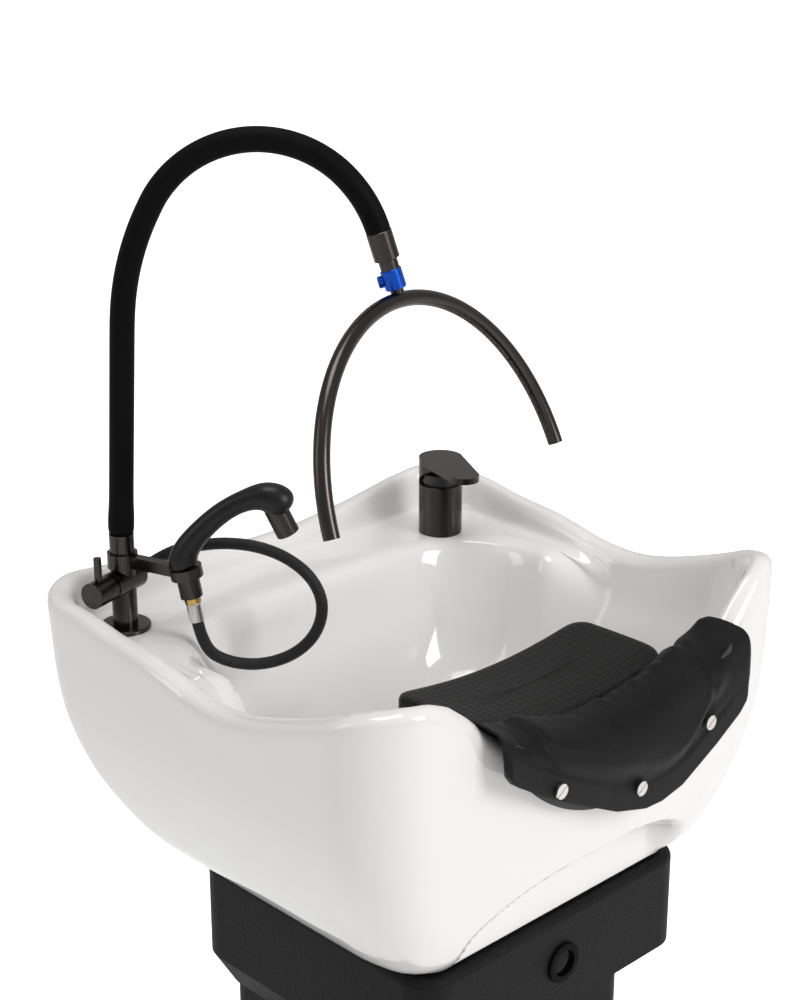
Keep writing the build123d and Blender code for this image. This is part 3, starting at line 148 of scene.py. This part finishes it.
class Shader:
    """A material with one Principled shader, and short ways to add nodes to it."""

    def __init__(self, name):
        self.material = bpy.data.materials.new(name)
        self.material.use_nodes = True
        self.tree = self.material.node_tree
        self.surface = self.tree.nodes["Principled BSDF"]
        self.place = self.node("ShaderNodeTexCoord", {}, {}, "Object")

    def node(self, kind, settings, values, output=0):
        made = self.tree.nodes.new(kind)
        for name, value in settings.items():
            setattr(made, name, value)
        for name, value in values.items():
            self.feed(made.inputs[name], value)
        return Value(self, made.outputs[output])

    def feed(self, socket, value):
        if isinstance(value, Value):
            self.tree.links.new(value.socket, socket)
        elif isinstance(value, tuple) and len(value) == 3 and socket.type == "RGBA":
            socket.default_value = (*value, 1)
        else:
            socket.default_value = value

    def maths(self, operation, first, second=0.0, clamp=False):
        return self.node(
            "ShaderNodeMath", {"operation": operation, "use_clamp": clamp}, {0: first, 1: second},
        )

    def stretch(self, scale):
        return self.node("ShaderNodeMapping", {}, {"Vector": self.place, "Scale": scale})

    def noise(self, scale, detail=2.0, place=None, roughness=0.5):
        values = {"Vector": place or self.place, "Scale": scale, "Detail": detail, "Roughness": roughness}
        return self.node("ShaderNodeTexNoise", {}, values, "Fac")

    def ramp(self, value, low, high, to_low=0.0, to_high=1.0):
        values = {"Value": value, "From Min": low, "From Max": high, "To Min": to_low, "To Max": to_high}
        return self.node("ShaderNodeMapRange", {}, values)

    def blend(self, share, first, second):
        made = self.tree.nodes.new("ShaderNodeMix")
        made.data_type = "RGBA"
        self.feed(made.inputs[0], share)
        self.feed(made.inputs[6], first)
        self.feed(made.inputs[7], second)
        return Value(self, made.outputs[2])

    def bump(self, height, depth, strength=1.0):
        return self.node("ShaderNodeBump", {}, {"Height": height, "Distance": depth, "Strength": strength})

    def axes(self, place=None):
        made = self.tree.nodes.new("ShaderNodeSeparateXYZ")
        self.feed(made.inputs[0], place or self.place)
        return [Value(self, made.outputs[index]) for index in range(3)]

    def finish(self, **values):
        for name, value in values.items():
            self.feed(self.surface.inputs[name.replace("_", " ")], value)
        return self.material


def glaze():
    s = Shader("white_glaze")
    cloud = s.noise(3.0, 3.0)
    ripple = s.noise(22.0, 2.0)
    colour = s.blend(cloud, (0.80, 0.785, 0.775), (0.84, 0.83, 0.825))
    return s.finish(Base_Color=colour, Roughness=s.ramp(cloud, 0.3, 0.7, 0.05, 0.09), Coat_Weight=0.6,
                    Coat_Roughness=0.03, Normal=s.bump(ripple, 0.0008, 0.25))


def moulded_black():
    s = Shader("moulded_black")
    grain = s.node(
        "ShaderNodeTexVoronoi", {"feature": "SMOOTH_F1"}, {"Vector": s.place, "Scale": 420.0}, "Distance",
    )
    fine = s.noise(900.0, 3.0)
    height = grain * 0.7 + fine * 0.5
    worn = s.noise(9.0, 4.0)
    colour = s.blend(s.ramp(worn, 0.35, 0.75), (0.0060, 0.0058, 0.0060), (0.0125, 0.0120, 0.0122))
    return s.finish(Base_Color=colour, Roughness=s.ramp(worn, 0.3, 0.7, 0.48, 0.58),
                    Normal=s.bump(height, 0.0006, 0.8),
                    Specular_IOR_Level=0.12)


def gunmetal():
    s = Shader("gunmetal")
    dark, light = (0.056, 0.050, 0.047), (0.072, 0.065, 0.061)
    lines = s.noise(1.0, 2.0, s.stretch((1400.0, 1400.0, 1400.0)), 0.5)
    cloud = s.noise(40.0, 3.0)
    colour = s.blend(s.ramp(lines, 0.3, 0.7), dark, light)
    rough = s.ramp(lines, 0.3, 0.7, 0.20, 0.25) + s.ramp(cloud, 0.3, 0.8, 0.0, 0.04)
    return s.finish(Base_Color=colour, Metallic=1.0, Roughness=rough, Normal=s.bump(lines, 0.00001, 0.3))


def plain_metal(name, dark, light, rough, metallic=1.0, grain=300.0):
    s = Shader(name)
    lines = s.noise(grain, 3.0)
    return s.finish(Base_Color=s.blend(lines, dark, light), Metallic=metallic,
                    Roughness=s.ramp(lines, 0.3, 0.7, rough, rough + 0.1),
                    Normal=s.bump(lines, 0.00005, 0.4))


def soft_black(name, colour, lighter, rough, grain, depth, level=0.4):
    s = Shader(name)
    fine = s.noise(grain, 4.0)
    cloud = s.noise(12.0, 3.0)
    return s.finish(Base_Color=s.blend(s.ramp(cloud, 0.3, 0.7), colour, lighter),
                    Roughness=s.ramp(cloud, 0.3, 0.7, rough, rough + 0.08),
                    Normal=s.bump(fine, depth, 0.6), Specular_IOR_Level=level)


def hose_cloth():
    s = Shader("hose_braid")
    uv = s.node("ShaderNodeTexCoord", {}, {}, "UV")
    along, round_, _ = s.axes(uv)
    one = s.maths("SINE", (along * 150.0 + round_ * 12.0) * 6.2832)
    two = s.maths("SINE", (along * 150.0 - round_ * 12.0) * 6.2832)
    height = one * two
    colour = s.blend(s.ramp(height, -1.0, 1.0), (0.0025, 0.0025, 0.0030), (0.014, 0.014, 0.0155))
    return s.finish(Base_Color=colour, Roughness=s.ramp(height, -1.0, 1.0, 0.6, 0.42),
                    Normal=s.bump(height, 0.0003, 0.6),
                    Specular_IOR_Level=0.35)


def basket_foam():
    """Embossed basket weave: squares of ribs that run across each other in turn."""
    s = Shader("basket_foam")
    x, y, z = s.axes()
    pitch = 0.0095
    across, down = x / pitch, y / pitch
    check = s.maths("MODULO", s.maths("FLOOR", across + 200.0) + s.maths("FLOOR", down + 200.0), 2.0)
    ribs_x = s.maths("ABSOLUTE", s.maths("SINE", across * (math.pi * 2)))
    ribs_y = s.maths("ABSOLUTE", s.maths("SINE", down * (math.pi * 2)))
    swell_x = s.maths("ABSOLUTE", s.maths("SINE", down * math.pi))
    swell_y = s.maths("ABSOLUTE", s.maths("SINE", across * math.pi))
    height = check * ribs_x * swell_x + (1.0 - check) * ribs_y * swell_y
    grain = s.noise(700.0, 3.0)
    _, _, up = s.axes(s.node("ShaderNodeNewGeometry", {}, {}, "Normal"))
    face = s.ramp(s.maths("ABSOLUTE", up), 0.5, 0.85)
    colour = s.blend(s.ramp(height * face, 0.0, 0.8), (0.0065, 0.0058, 0.0055), (0.0125, 0.0112, 0.0105))
    return s.finish(Base_Color=colour, Roughness=s.ramp(height, 0.0, 1.0, 0.5, 0.36),
                    Normal=s.bump(height * face + grain * 0.12, 0.0006, 0.55), Specular_IOR_Level=0.2)


def vinyl():
    s = Shader("soft_vinyl")
    grain = s.node(
        "ShaderNodeTexVoronoi", {"feature": "DISTANCE_TO_EDGE"}, {"Vector": s.place, "Scale": 700.0},
        "Distance",
    )
    fold = s.noise(26.0, 3.0, s.stretch((1.0, 1.0, 0.6)))
    fine = s.noise(900.0, 2.0)
    colour = s.blend(s.ramp(fold, 0.3, 0.7), (0.0035, 0.0035, 0.0040), (0.0070, 0.0070, 0.0076))
    height = s.ramp(grain, 0.0, 0.25) * 0.25 + fine * 0.1 + fold * 1.6
    return s.finish(Base_Color=colour, Roughness=s.ramp(fold, 0.3, 0.7, 0.40, 0.50),
                    Normal=s.bump(height, 0.0011, 0.5),
                    Specular_IOR_Level=0.15)


def paint(name, colour, lighter, rough):
    s = Shader(name)
    peel = s.noise(350.0, 2.0)
    cloud = s.noise(14.0, 3.0)
    return s.finish(Base_Color=s.blend(cloud, colour, lighter),
                    Roughness=s.ramp(cloud, 0.3, 0.7, rough, rough + 0.1),
                    Normal=s.bump(peel, 0.0002, 0.4))


FINISH = {
    "glaze": glaze(),
    "black_shell": moulded_black(),
    "black_rubber": soft_black(
        "matt_rubber", (0.0016, 0.0016, 0.0020), (0.0035, 0.0035, 0.0042), 0.55, 500.0, 0.0002, 0.07,
    ),
    "frame_steel": paint("frame_paint", (0.03, 0.03, 0.032), (0.05, 0.05, 0.053), 0.45),
    "zinc_steel": plain_metal("zinc_plate", (0.45, 0.45, 0.46), (0.62, 0.62, 0.62), 0.3),
    "bronze": plain_metal("turned_bronze", (0.42, 0.28, 0.13), (0.55, 0.40, 0.2), 0.3),
    "pipe_plastic": paint("grey_plastic", (0.5, 0.5, 0.49), (0.6, 0.6, 0.59), 0.4),
    "bright_steel": plain_metal("bright_steel", (0.62, 0.60, 0.57), (0.78, 0.76, 0.73), 0.16),
    "brass": plain_metal("polished_brass", (0.62, 0.38, 0.10), (0.80, 0.55, 0.2), 0.18),
    "flexible_steel": plain_metal("steel_braid", (0.35, 0.35, 0.36), (0.6, 0.6, 0.6), 0.35, grain=900.0),
    "gunmetal": gunmetal(),
    "cap_plastic": paint("cap_plastic", (0.02, 0.02, 0.02), (0.035, 0.035, 0.035), 0.35),
    "blue_metal": plain_metal("blue_anodised", (0.004, 0.05, 0.42), (0.01, 0.11, 0.62), 0.22, 0.75),
    "black_grip": soft_black(
        "satin_grip", (0.0035, 0.0035, 0.0040), (0.0065, 0.0065, 0.0072), 0.32, 420.0, 0.00012, 0.35,
    ),
    "hose_braid": hose_cloth(),
    "black_vinyl": vinyl(),
    "backing_board": paint("backing_board", (0.02, 0.02, 0.02), (0.03, 0.03, 0.03), 0.5),
    "black_foam": basket_foam(),
}
for node, entry in ((s["node"], s["material_slot"]) for s in frame["record"]["subparts"]):
    data = frame["nodes"][node].data
    data.materials.clear()
    data.materials.append(FINISH[entry])


# ---------------------------------------------------------------- basin
def smooth(low, high, value):
    share = np.clip((value - low) / (high - low), 0, 1)
    return share * share * (3 - 2 * share)


def mix(low, high, share):
    return low + (high - low) * share


RIM = (304, 212, 28, 303, 62)
FOOT = (190, 164, 1, 166, 34)
BOWL = (226, 198, 1, 184, 96)
SHARES = ((664, 1.0), (667, 0.975), (672, 0.87), (680, 0.735), (690, 0.62), (710, 0.49), (730, 0.39),
          (755, 0.275),
          (780, 0.19), (808, 0.12), (835, 0.065), (862, 0.035), (890, 0.02), (1000, 0.0))


def reach(turn, shape):
    """Distance from the middle to a rounded outline with a bowed front, at each angle."""
    half_width, front, bow, back, corner = shape
    low, high = np.zeros_like(turn), np.full_like(turn, 520.0)
    for _ in range(40):
        mid = (low + high) / 2
        x, y = mid * np.cos(turn), mid * np.sin(turn)
        bowed = (front + bow * np.clip(1 - (x / half_width) ** 2, 0, 1)) / front
        y = np.where(y < 0, y / bowed, y)
        qx = np.abs(x) - (half_width - corner)
        qy = np.abs(y - (back - front) / 2) - ((back + front) / 2 - corner)
        away = np.hypot(np.maximum(qx, 0), np.maximum(qy, 0)) + np.minimum(np.maximum(qx, qy), 0) - corner
        high, low = np.where(away > 0, mid, high), np.where(away > 0, low, mid)
    return low


def hull_reach(turn, height):
    """Distance to the outside of the basin, at each angle and height."""
    share = np.interp(height, [z for z, _ in SHARES], [t for _, t in SHARES])
    rim, foot = reach(turn, RIM), reach(turn, FOOT)
    return mix(rim, foot, share)


def rim_height(x, y):
    """Height of the rim's top: raised at the shoulders and corners, dipped at the sides and the back."""
    # The heights in these three rows were fitted to the outline in the photo by a scratch program.
    side = np.interp(
        y,
        [-240, -190, -165, -145, -122, -99, -78, -58, -38, -19, 0, 22, 45, 70, 105, 165, 211, 280, 310],
        [984, 981, 974, 965, 956, 948, 941, 935, 930, 927, 926, 927, 930, 936, 943, 949, 957, 962, 964],
    )
    back = np.interp(
        x,
        [-300, -250, -200, -130, -60, 0, 60, 130, 200, 250, 300],
        [964, 966, 962, 952, 943, 940, 941, 949, 961, 966, 964],
    )
    front = np.interp(
        np.where(x > 0, 0.92 * x, -x),
        [0, 30, 60, 90, 120, 150, 168, 190, 212, 235, 260, 304],
        [880, 881.6, 886.5, 894.9, 907.0, 923.6, 936, 956, 973, 982, 983, 974],
    )
    at_back = smooth(240, 292, y)
    at_front = smooth(-188, -206, y)
    height = mix(side, back, at_back)
    return mix(height, front, at_front)


def spline_rows(controls, steps):
    """Cubic B-spline through rows of control points, with clamped ends."""
    padded = [controls[0]] * 2 + controls + [controls[-1]] * 2
    rows = []
    for a, b, c, d in zip(padded, padded[1:], padded[2:], padded[3:]):
        for step in range(steps):
            t = step / steps
            rows.append(
                (
                    (1 - t) ** 3 * a + (3 * t**3 - 6 * t**2 + 4) * b + (
                        -3 * t**3 + 3 * t**2 + 3 * t + 1
                    ) * c + t**3 * d
                ) / 6
            )
    rows.append(padded[-1])
    return rows


def closed_tube(name, rows):
    """Closed mesh from rings of points, with its first and last rings filled."""
    mesh = bpy.data.meshes.new(name)
    count = len(rows[0])
    points = [tuple(p) for row in rows for p in row]
    faces = []
    for i in range(len(rows) - 1):
        for j in range(count):
            k = (j + 1) % count
            faces.append((i * count + j, i * count + k, (i + 1) * count + k, (i + 1) * count + j))
    faces.append(tuple(range(count - 1, -1, -1)))
    faces.append(tuple(range((len(rows) - 1) * count, len(rows) * count)))
    mesh.from_pydata(points, [], faces)
    piece = bpy.data.objects.new(name, mesh)
    bpy.context.collection.objects.link(piece)
    work = bmesh.new()
    work.from_mesh(mesh)
    bmesh.ops.recalc_face_normals(work, faces=work.faces)
    work.to_mesh(mesh)
    work.free()
    for face in mesh.polygons:
        face.use_smooth = True
    return piece


def even_turns(count):
    """Angles at which the rim's outline is cut into equal lengths."""
    fine = np.linspace(0, 2 * math.pi, 4001)
    r = reach(fine, RIM)
    x, y = r * np.cos(fine), r * np.sin(fine)
    length = np.concatenate([[0], np.cumsum(np.hypot(np.diff(x), np.diff(y)))])
    return np.interp(np.linspace(0, length[-1], count, endpoint=False), length, fine)


def basin_mesh():
    turn = even_turns(300)
    cos, sin = np.cos(turn), np.sin(turn)
    rim = reach(turn, RIM)
    top = rim_height((rim - 15) * cos, (rim - 15) * sin)
    ledge = smooth(-0.02, 0.30, sin)
    edge = np.minimum(reach(turn, BOWL), rim - 68)
    inner = rim - 30
    one = np.ones_like(turn)
    deck = [
        (12 * one, 748 * one), (44 * one, 748 * one), (80 * one, 751 * one), (0.68 * edge, 765 * one),
        (0.82 * edge, 795 * one),
        (0.90 * edge, 840 * one), (0.955 * edge, 885 * one), (edge - 2, 911 * one), (edge + 9, 921 * one),
        (edge + 28, 921 * one), (mix(edge + 28, rim - 56, 0.5), 920 * one), (rim - 56, 920 * one),
        (rim - 43, 920 * one),
        (rim - 35, 923 * one), (rim - 32, mix(925, top, 0.5)), (rim - 29, top - 7), (rim - 24, top + 0.5),
    ]
    plain = [
        (12 * one, 748 * one), (44 * one, 748 * one), (80 * one, 751 * one), (0.55 * inner, 763 * one),
        (0.68 * inner, 783 * one),
        (0.78 * inner, 808 * one), (0.855 * inner, mix(830, top, 0.08)),
        (0.905 * inner, mix(840, top, 0.24)),
        (0.935 * inner, mix(840, top, 0.36)), (0.955 * inner, mix(840, top, 0.48)),
        (0.968 * inner, mix(840, top, 0.58)),
        (0.979 * inner, mix(840, top, 0.68)), (0.988 * inner, mix(840, top, 0.77)),
        (0.996 * inner, mix(840, top, 0.85)),
        (inner + 1, mix(840, top, 0.92)), (inner + 4, top - 4), (inner + 9, top + 0.5),
    ]
    controls = []
    for (r_a, z_a), (r_b, z_b) in zip(plain, deck):
        r, z = mix(r_a, r_b, ledge), mix(z_a, z_b, ledge)
        controls.append(np.stack([r * cos, r * sin, z], axis=1))
    for r, z in ((rim - 15, top + 1.5), (rim - 6, top + 0.5), (rim - 0.5, top - 5), (rim, top - 14)):
        controls.append(np.stack([r * cos, r * sin, z], axis=1))
    for share in (0.25, 0.6, 1.0):
        z = mix(top - 14, 838, share)
        r = hull_reach(turn, z)
        controls.append(np.stack([r * cos, r * sin, z], axis=1))
    for height in (812, 788, 764, 744, 726, 711, 698, 687, 678, 671, 666.5, 664, 664):
        r = hull_reach(turn, height)
        controls.append(np.stack([r * cos, r * sin, height * one], axis=1))
    foot = reach(turn, FOOT)
    for share in (0.93, 0.5, 0.1):
        controls.append(np.stack([foot * share * cos, foot * share * sin, 664 * one], axis=1))
    steps = 7
    rows = spline_rows(controls, steps)
    first_outer = steps * 20
    for index in range(first_outer, len(rows)):
        row = rows[index]
        x, y, z = row[:, 0], row[:, 1], row[:, 2]
        arch = 744 - 42 * np.abs(x / 160) ** 3
        inside = smooth(-12, 13, arch - z) * smooth(-12, 10, 152 - np.abs(x)) * (y < -150)
        rows[index] = np.stack([x, mix(y, np.maximum(y, -163.5), inside), z], axis=1)
    return closed_tube("basin_glazed", [row * MM for row in rows])


basin = basin_mesh()
basin.data.materials.append(FINISH["glaze"])
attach(basin, "basin")
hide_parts("basin")

def strip_piece(name, rows, finish, body, *nodes):
    """Closed mesh from rings, finished and tied to its body; the CAD nodes it stands for are hidden."""
    piece = closed_tube(name, rows)
    piece.data.materials.append(FINISH[finish])
    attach(piece, body)
    if nodes:
        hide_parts(*nodes)
    return piece


def even_points(rows, count):
    """Points spread evenly along a polyline."""
    rows = np.array(rows)
    step = np.concatenate([[0], np.cumsum(np.linalg.norm(np.diff(rows, axis=0), axis=1))])
    even = np.linspace(0, step[-1], count)
    return np.stack([np.interp(even, step, rows[:, axis]) for axis in range(rows.shape[1])], axis=1)


# ---------------------------------------------------------------- neck cushion
HEM = ((-178, 926), (-174, 908), (-165, 896), (-135, 877), (-91, 852), (-24, 818), (20, 805), (45, 804),
       (76, 810),
       (128, 836), (165, 858), (176, 870), (182, 892))


def notch_top(x):
    return rim_height(np.array([x * 1.0]), np.array([-225.0]))[0]


def neck_section(x, count=64):
    """Closed loop of the neck cushion's cross-section at x: outside down to the hem, and back."""
    base = min(notch_top(x) + 2.9, 941 if x > 0 else 946)
    hem = np.interp(x, [p[0] for p in HEM], [p[1] for p in HEM])
    middle = (x - 6) / 178
    pad = float(smooth(1.0, 0.55, abs(middle)))
    droop = float(smooth(0.62, 0.98, abs(middle)))
    front = base - 14
    low = min(hem, base - 12)
    outer = spline_rows([np.array(p) for p in (
        (-187, base - 13 * droop + 6), (-188, base - 8 * droop + 9 + 2 * pad),
        (-196, base + 6 - 1.5 * droop + 7 * pad),
        (-212, base + 5 + 11 * pad), (-232, base + 4.5 + 9 * pad), (-248, base - 1 + 3 * pad),
        (-255, base - 12),
        (-256, mix(front, low, 0.4)), (-256, mix(front, low, 0.75)), (-256, low))], 8)
    outer = even_points(outer, count)
    tangent = np.gradient(outer, axis=0)
    tangent /= np.linalg.norm(tangent, axis=1)[:, None]
    normal = np.stack([-tangent[:, 1], tangent[:, 0]], axis=1)
    along = np.linspace(0, 1, count)
    drop = outer[:, 1] - low
    border = 26 + 20 * float(smooth(60, 120, x))
    swell = smooth(border, border + 26, drop) * smooth(0.0, 0.16, along) * float(
        smooth(0.86, 0.62, abs(middle))
    )
    ruck = 0.8 * math.sin(x * 0.21 + 1.3) + 0.6 * math.sin(x * 0.37) + 0.5 * math.sin(x * 0.11 + 2)
    crease = ruck * smooth(0.42, 0.1, along) * float(smooth(0.75, 0.4, abs(middle - 0.1)))
    dent = -3.0 * np.exp(-((x - 133 + 30 * along) / 7.0) ** 2) * smooth(0.9, 0.5, along)
    dent += -2.2 * np.exp(-((x + 128 - 18 * along) / 8.0) ** 2) * smooth(0.9, 0.6, along)
    seam = -1.3 * np.exp(-((drop - 30) / 4.0) ** 2) * (1 - droop)
    lump = 1.2 * np.sin(x * 0.045 + 5 * along) * swell
    puff = 9.0 * swell + 0.9 * crease + dent + seam + lump
    outer = outer + normal * puff[:, None] * -1.0
    under = even_points([(-187, base - 13 * droop), (-200, base - 3 * droop), (-214, base), (-241, base),
                        (-246.5, base - 5),
                        (-246.5, mix(base, low, 0.5)), (-247, low)], count)
    loop = np.concatenate([outer, under[::-1]])
    return np.stack([np.full(len(loop), float(x)), loop[:, 0], loop[:, 1]], axis=1)


neck_rows = []
for x in np.concatenate([[-178, -177.2, -175.5], np.linspace(-173, 177, 150), [179.5, 181.2, 182]]):
    row = neck_section(x)
    thin = 1 - 0.75 * float(smooth(175, 182, x)) - 0.75 * float(smooth(-171, -178, x))
    half = len(row) // 2
    mean = (row[:half] + row[half:][::-1]) / 2
    centre = np.concatenate([mean, mean[::-1]])
    neck_rows.append((centre + (row - centre) * thin) * MM)
neck = strip_piece("neck_cushion_cover", neck_rows, "black_vinyl", "neck_cushion", "neck_cushion")

# ---------------------------------------------------------------- head rest cushion
def rest_section(height, inset):
    """Outline of the head rest, drawn in by an inset. The share of its height is not used."""
    turn = np.linspace(0, 2 * math.pi, 220, endpoint=False)
    shape = (137 - inset, 61 - inset, 0.5, 61 - inset, max(22 - inset, 3))
    r = reach(turn, shape)
    x, y = r * np.cos(turn), r * np.sin(turn)
    return x, y


def rest_rows():
    rows = []
    steps = [(0, 30), (0, 14), (0, 4), (0.05, 1.2), (0.14, 0.2), (0.3, 0), (0.5, 0), (0.7, 0), (0.84, 0.3),
             (0.92, 1.4),
             (0.97, 3.4), (1.0, 7), (1.0, 14), (1.0, 24), (1.0, 36), (1.0, 48), (1.0, 56), (1.0, 60.7)]
    for share, inset in steps:
        x, y = rest_section(share, inset)
        hollow = 13.5 * (1 - np.clip((x - 2) / 137, -1, 1) ** 2) ** 1.15
        top = 911.5 - hollow + 1.2 * np.cos(y / 61 * 1.4) - 3.0 * smooth(30, 60, -y)
        bottom = 878.4
        z = mix(bottom, top, share)
        rows.append(np.stack([x + 2, y - 122, z], axis=1) * MM)
    return rows


rest = strip_piece("head_rest_pad", rest_rows(), "black_foam", "rest_cushion", "rest_cushion")

# ---------------------------------------------------------------- hand shower grip
AZIMUTH = math.radians(-44.4)
OUTWARD = Vector((math.cos(AZIMUTH), math.sin(AZIMUTH), 0))


def plane_point(base, reach_out, rise):
    """Point in the upright plane of the hand shower and the arm, by two distances in mm from a base."""
    return Vector((base[0], base[1], 0)) * MM + OUTWARD * reach_out * MM + Vector((0, 0, rise)) * MM


def spun_tube(name, base, stations, steps, finish, body, *nodes):
    rows = spline_rows([np.array(p, float) for p in stations], steps)
    points = [plane_point(base, row[0], row[1]) for row in rows]
    piece = tube_mesh(name, points, [row[2] * MM for row in rows], 40)
    piece.data.materials.append(FINISH[finish])
    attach(piece, body)
    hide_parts(*nodes)
    return piece


GRIP = [(0.2, 1001.4, 3), (0, 1001.6, 13), (-0.8, 1002.6, 14.6), (-2.2, 1008, 14.6), (1.5, 1019, 13),
        (9, 1030, 11.8),
        (18.5, 1040.5, 11.2), (32, 1053.5, 10.7), (46, 1063.5, 10.4), (59, 1070, 10.6), (71, 1074, 12.2),
        (81, 1075, 14.6),
        (90, 1072.5, 16.3), (98, 1068, 16.0), (103.5, 1064, 11.5), (105, 1062.5, 1.5)]
spun_tube("shower_grip_shell", (-209, 154), GRIP, 8, "black_grip", "hand_shower", "shower_grip")

# ---------------------------------------------------------------- sleeve of the flexible arm
def sleeve_stations():
    z, lean = 1023.7, math.radians(3)
    stations = [
        (0, z, 11.0), (0.05, z + 1.2, 12.9), (0.4, z + 8, 13.2), (0.9, z + 18, 13.2), (1.4, z + 27, 12.6),
        (2, z + 38, 12.3),
    ]
    for share in np.linspace(0.3, 1, 8):
        stations.append((218 * share * math.sin(lean), z + 218 * share * math.cos(lean), 12.3))
    d, z = stations[-1][0], stations[-1][1]
    for radius, turned in ((269, 26), (116, 108), (129, 26)):
        for step in range(1, int(turned / 4) + 1):
            a = lean + math.radians(turned) * step / int(turned / 4)
            stations.append(
                (
                    d + radius * (math.cos(lean) - math.cos(a)),
                    z + radius * (math.sin(a) - math.sin(lean)), 12.3,
                )
            )
        d, z = stations[-1][0], stations[-1][1]
        lean += math.radians(turned)
    last, before = stations[-1], stations[-2]
    stations.append((last[0], last[1], 11.5))
    return stations


spun_tube("arm_sleeve_skin", (-232, 227), sleeve_stations(), 4, "black_rubber", "arm", "arm_sleeve")

# ---------------------------------------------------------------- hose: its finish, with the CAD hose hidden and its transform baked
hose.data.materials.append(FINISH["hose_braid"])
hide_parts("shower_hose")
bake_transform(hose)

# ---------------------------------------------------------------- floor and light
bpy.ops.mesh.primitive_plane_add(size=80)
floor = bpy.context.object
floor.name = "floor"
s = Shader("pale_floor")
seen = s.node("ShaderNodeLightPath", {}, {}, "Is Camera Ray")
floor.data.materials.append(s.finish(Base_Color=(0.9, 0.9, 0.9), Roughness=0.9, Specular_IOR_Level=0.1,
                                     Emission_Color=s.blend(seen, (0.3, 0.3, 0.3), (1.0, 1.0, 1.0)),
                                     Emission_Strength=1.0))

world = bpy.data.worlds.new("studio")
bpy.context.scene.world = world
world.use_nodes = True
world.node_tree.nodes["Background"].inputs[0].default_value = (1.0, 1.0, 1.0, 1)
strength = world.node_tree.nodes["Background"].inputs[1]
ray = world.node_tree.nodes.new("ShaderNodeLightPath")
lift = world.node_tree.nodes.new("ShaderNodeMapRange")
lift.inputs["To Min"].default_value = 0.42
world.node_tree.links.new(ray.outputs["Is Camera Ray"], lift.inputs["Value"])
world.node_tree.links.new(lift.outputs[0], strength)


def softbox(name, place, aim, size, power):
    data = bpy.data.lights.new(name, "AREA")
    data.shape = "RECTANGLE"
    data.size, data.size_y = size
    data.energy = power
    lamp = bpy.data.objects.new(name, data)
    bpy.context.collection.objects.link(lamp)
    lamp.location = place
    lamp.rotation_euler = (Vector(aim) - Vector(place)).to_track_quat("-Z", "Y").to_euler()


softbox("left_box", (-2.2, 1.2, 2.4), (0, 0, 0.9), (0.8, 1.6), 7)
softbox("front_box", (0.6, -2.6, 2.3), (0, 0, 0.9), (1.1, 1.5), 44)
softbox("top_box", (-0.2, 0.1, 3.4), (0, 0, 0.9), (1.2, 1.2), 22)
bpy.context.scene.view_settings.view_transform = "Standard"
